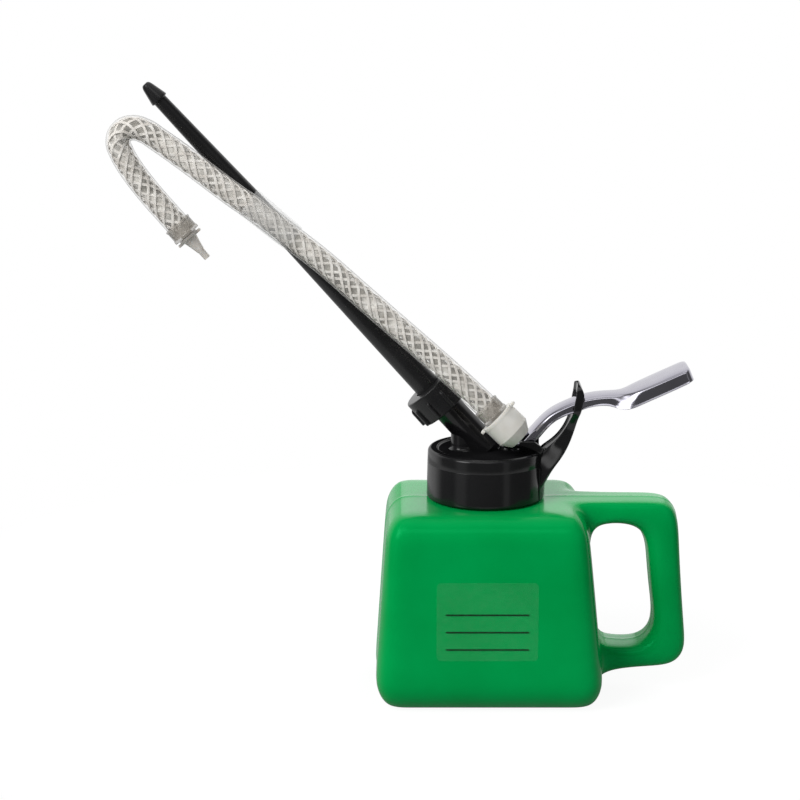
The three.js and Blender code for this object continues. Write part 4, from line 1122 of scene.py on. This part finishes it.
# the floor keeps the shadow near the can and goes to plain white further off
floorFinish, floorTree, floorShader = newFinish("paleFloor")
floorShader.inputs["Roughness"].default_value = 0.9
floorShader.inputs["Specular IOR Level"].default_value = 0.1
floorPlace = floorTree.nodes.new("ShaderNodeTexCoord")
floorReach = floorTree.nodes.new("ShaderNodeVectorMath")
floorReach.operation = "LENGTH"
floorTree.links.new(floorPlace.outputs["Object"], floorReach.inputs[0])
away = floorReach.outputs["Value"]
whiteShare = spread(floorTree, away, stage["nearShare"], 1, stage["near"], stage["far"])
whiteLevel = spread(floorTree, away, stage["white"], 1, stage["near"], stage["far"])
floorPath = floorTree.nodes.new("ShaderNodeLightPath")
floorShader.inputs["Base Color"].default_value = (stage["floor"],) * 3 + (1,)
mirrored = larger(floorTree, floorPath.outputs["Is Glossy Ray"], floorPath.outputs["Is Transmission Ray"])
mirrored = spread(floorTree, mirrored, 0, stage["mirrored"], 0, 1)
whiteSeen = floorTree.nodes.new("ShaderNodeMath")
whiteSeen.operation = "MULTIPLY"
floorTree.links.new(whiteShare, whiteSeen.inputs[0])
floorTree.links.new(larger(floorTree, floorPath.outputs["Is Camera Ray"], mirrored), whiteSeen.inputs[1])
floorWhite = floorTree.nodes.new("ShaderNodeEmission")
floorTree.links.new(whiteLevel, floorWhite.inputs["Strength"])
floorMix = floorTree.nodes.new("ShaderNodeMixShader")
floorTree.links.new(whiteSeen.outputs[0], floorMix.inputs["Fac"])
floorTree.links.new(floorShader.outputs["BSDF"], floorMix.inputs[1])
floorTree.links.new(floorWhite.outputs["Emission"], floorMix.inputs[2])
floorTree.links.new(floorMix.outputs["Shader"], floorTree.nodes["Material Output"].inputs["Surface"])
floorMesh.materials.append(floorFinish)

# the room: white behind and above, dim on the camera's side, and plain white where the camera sees it
world = bpy.data.worlds.new("studio")
scene.world = world
world.use_nodes = True
sky = world.node_tree
skyShader = sky.nodes["Background"]
skyShader.inputs["Color"].default_value = (1, 1, 1, 1)
skyPlace = sky.nodes.new("ShaderNodeTexCoord")
skyParts = sky.nodes.new("ShaderNodeSeparateXYZ")
sky.links.new(skyPlace.outputs["Generated"], skyParts.inputs["Vector"])
behind = sky.nodes.new("ShaderNodeMath")
behind.operation = "MULTIPLY"
sky.links.new(spread(sky, skyParts.outputs["Y"], 0, 1, 0.1, 0.6), behind.inputs[0])
sky.links.new(spread(sky, skyParts.outputs["Z"], stage["low"], 1, 0.25, 0.6), behind.inputs[1])
above = spread(sky, skyParts.outputs["Z"], 0, 1, 0.8, 0.94)
skyPath = sky.nodes.new("ShaderNodeLightPath")
roomLevel = spread(sky, larger(sky, behind.outputs[0], above), stage["front"], 1, 0, 1)
towardsFront = sky.nodes.new("ShaderNodeMath")
towardsFront.operation = "MULTIPLY"
towardsFront.inputs[1].default_value = -1
sky.links.new(skyParts.outputs["Y"], towardsFront.inputs[0])
bearing = sky.nodes.new("ShaderNodeMath")
bearing.operation = "ARCTAN2"
sky.links.new(skyParts.outputs["X"], bearing.inputs[0])
sky.links.new(towardsFront.outputs[0], bearing.inputs[1])
height = sky.nodes.new("ShaderNodeMath")
height.operation = "ARCSINE"
sky.links.new(skyParts.outputs["Z"], height.inputs[0])


def within(source, middle, half, soft, level):
    # the level inside an angle from the middle, going to none past a soft edge
    away = sky.nodes.new("ShaderNodeMath")
    away.operation = "SUBTRACT"
    away.inputs[1].default_value = radians(middle)
    sky.links.new(source, away.inputs[0])
    size = sky.nodes.new("ShaderNodeMath")
    size.operation = "ABSOLUTE"
    sky.links.new(away.outputs[0], size.inputs[0])
    return spread(sky, size.outputs[0], level, 0, radians(half * (1 - soft)), radians(half * (1 + soft)))


for middle, half, level in stage["strips"]:
    roomLevel = larger(sky, roomLevel, within(bearing.outputs[0], middle, half, 0.4, level))
for middle, half, rise, halfRise, level in stage["windows"]:
    window = sky.nodes.new("ShaderNodeMath")
    window.operation = "MULTIPLY"
    sky.links.new(within(bearing.outputs[0], middle, half, 0.3, level), window.inputs[0])
    sky.links.new(within(height.outputs[0], rise, halfRise, 0.4, 1), window.inputs[1])
    roomLevel = larger(sky, roomLevel, window.outputs[0])
diffuseLevel = sky.nodes.new("ShaderNodeMix")
sky.links.new(skyPath.outputs["Is Diffuse Ray"], diffuseLevel.inputs["Factor"])
sky.links.new(roomLevel, diffuseLevel.inputs["A"])
diffuseLevel.inputs["B"].default_value = stage["world"]
seenLevel = larger(sky, diffuseLevel.outputs["Result"], skyPath.outputs["Is Camera Ray"])
sky.links.new(seenLevel, skyShader.inputs["Strength"])


def softLamp(name, place, size, power):
    lamp = bpy.data.lights.new(name, "AREA")
    lamp.shape = "RECTANGLE"
    lamp.size, lamp.size_y = size
    lamp.energy = power
    holder = bpy.data.objects.new(name, lamp)
    holder.location = place
    holder.rotation_euler = (Vector(stage["aim"]) - Vector(place)).to_track_quat("-Z", "Y").to_euler()
    holder.visible_glossy = False  # the room's own pale parts give the reflections
    scene.collection.objects.link(holder)
    return holder


softLamp("keyLamp", (-0.75, -0.75, 0.95), (0.7, 0.7), stage["key"])
softLamp("sideLamp", (0.8, -0.9, 0.6), (0.35, 0.9), stage["side"])
softLamp("rearLamp", (0.5, 1.0, 0.8), (0.8, 0.8), stage["rear"])
print("stage set")
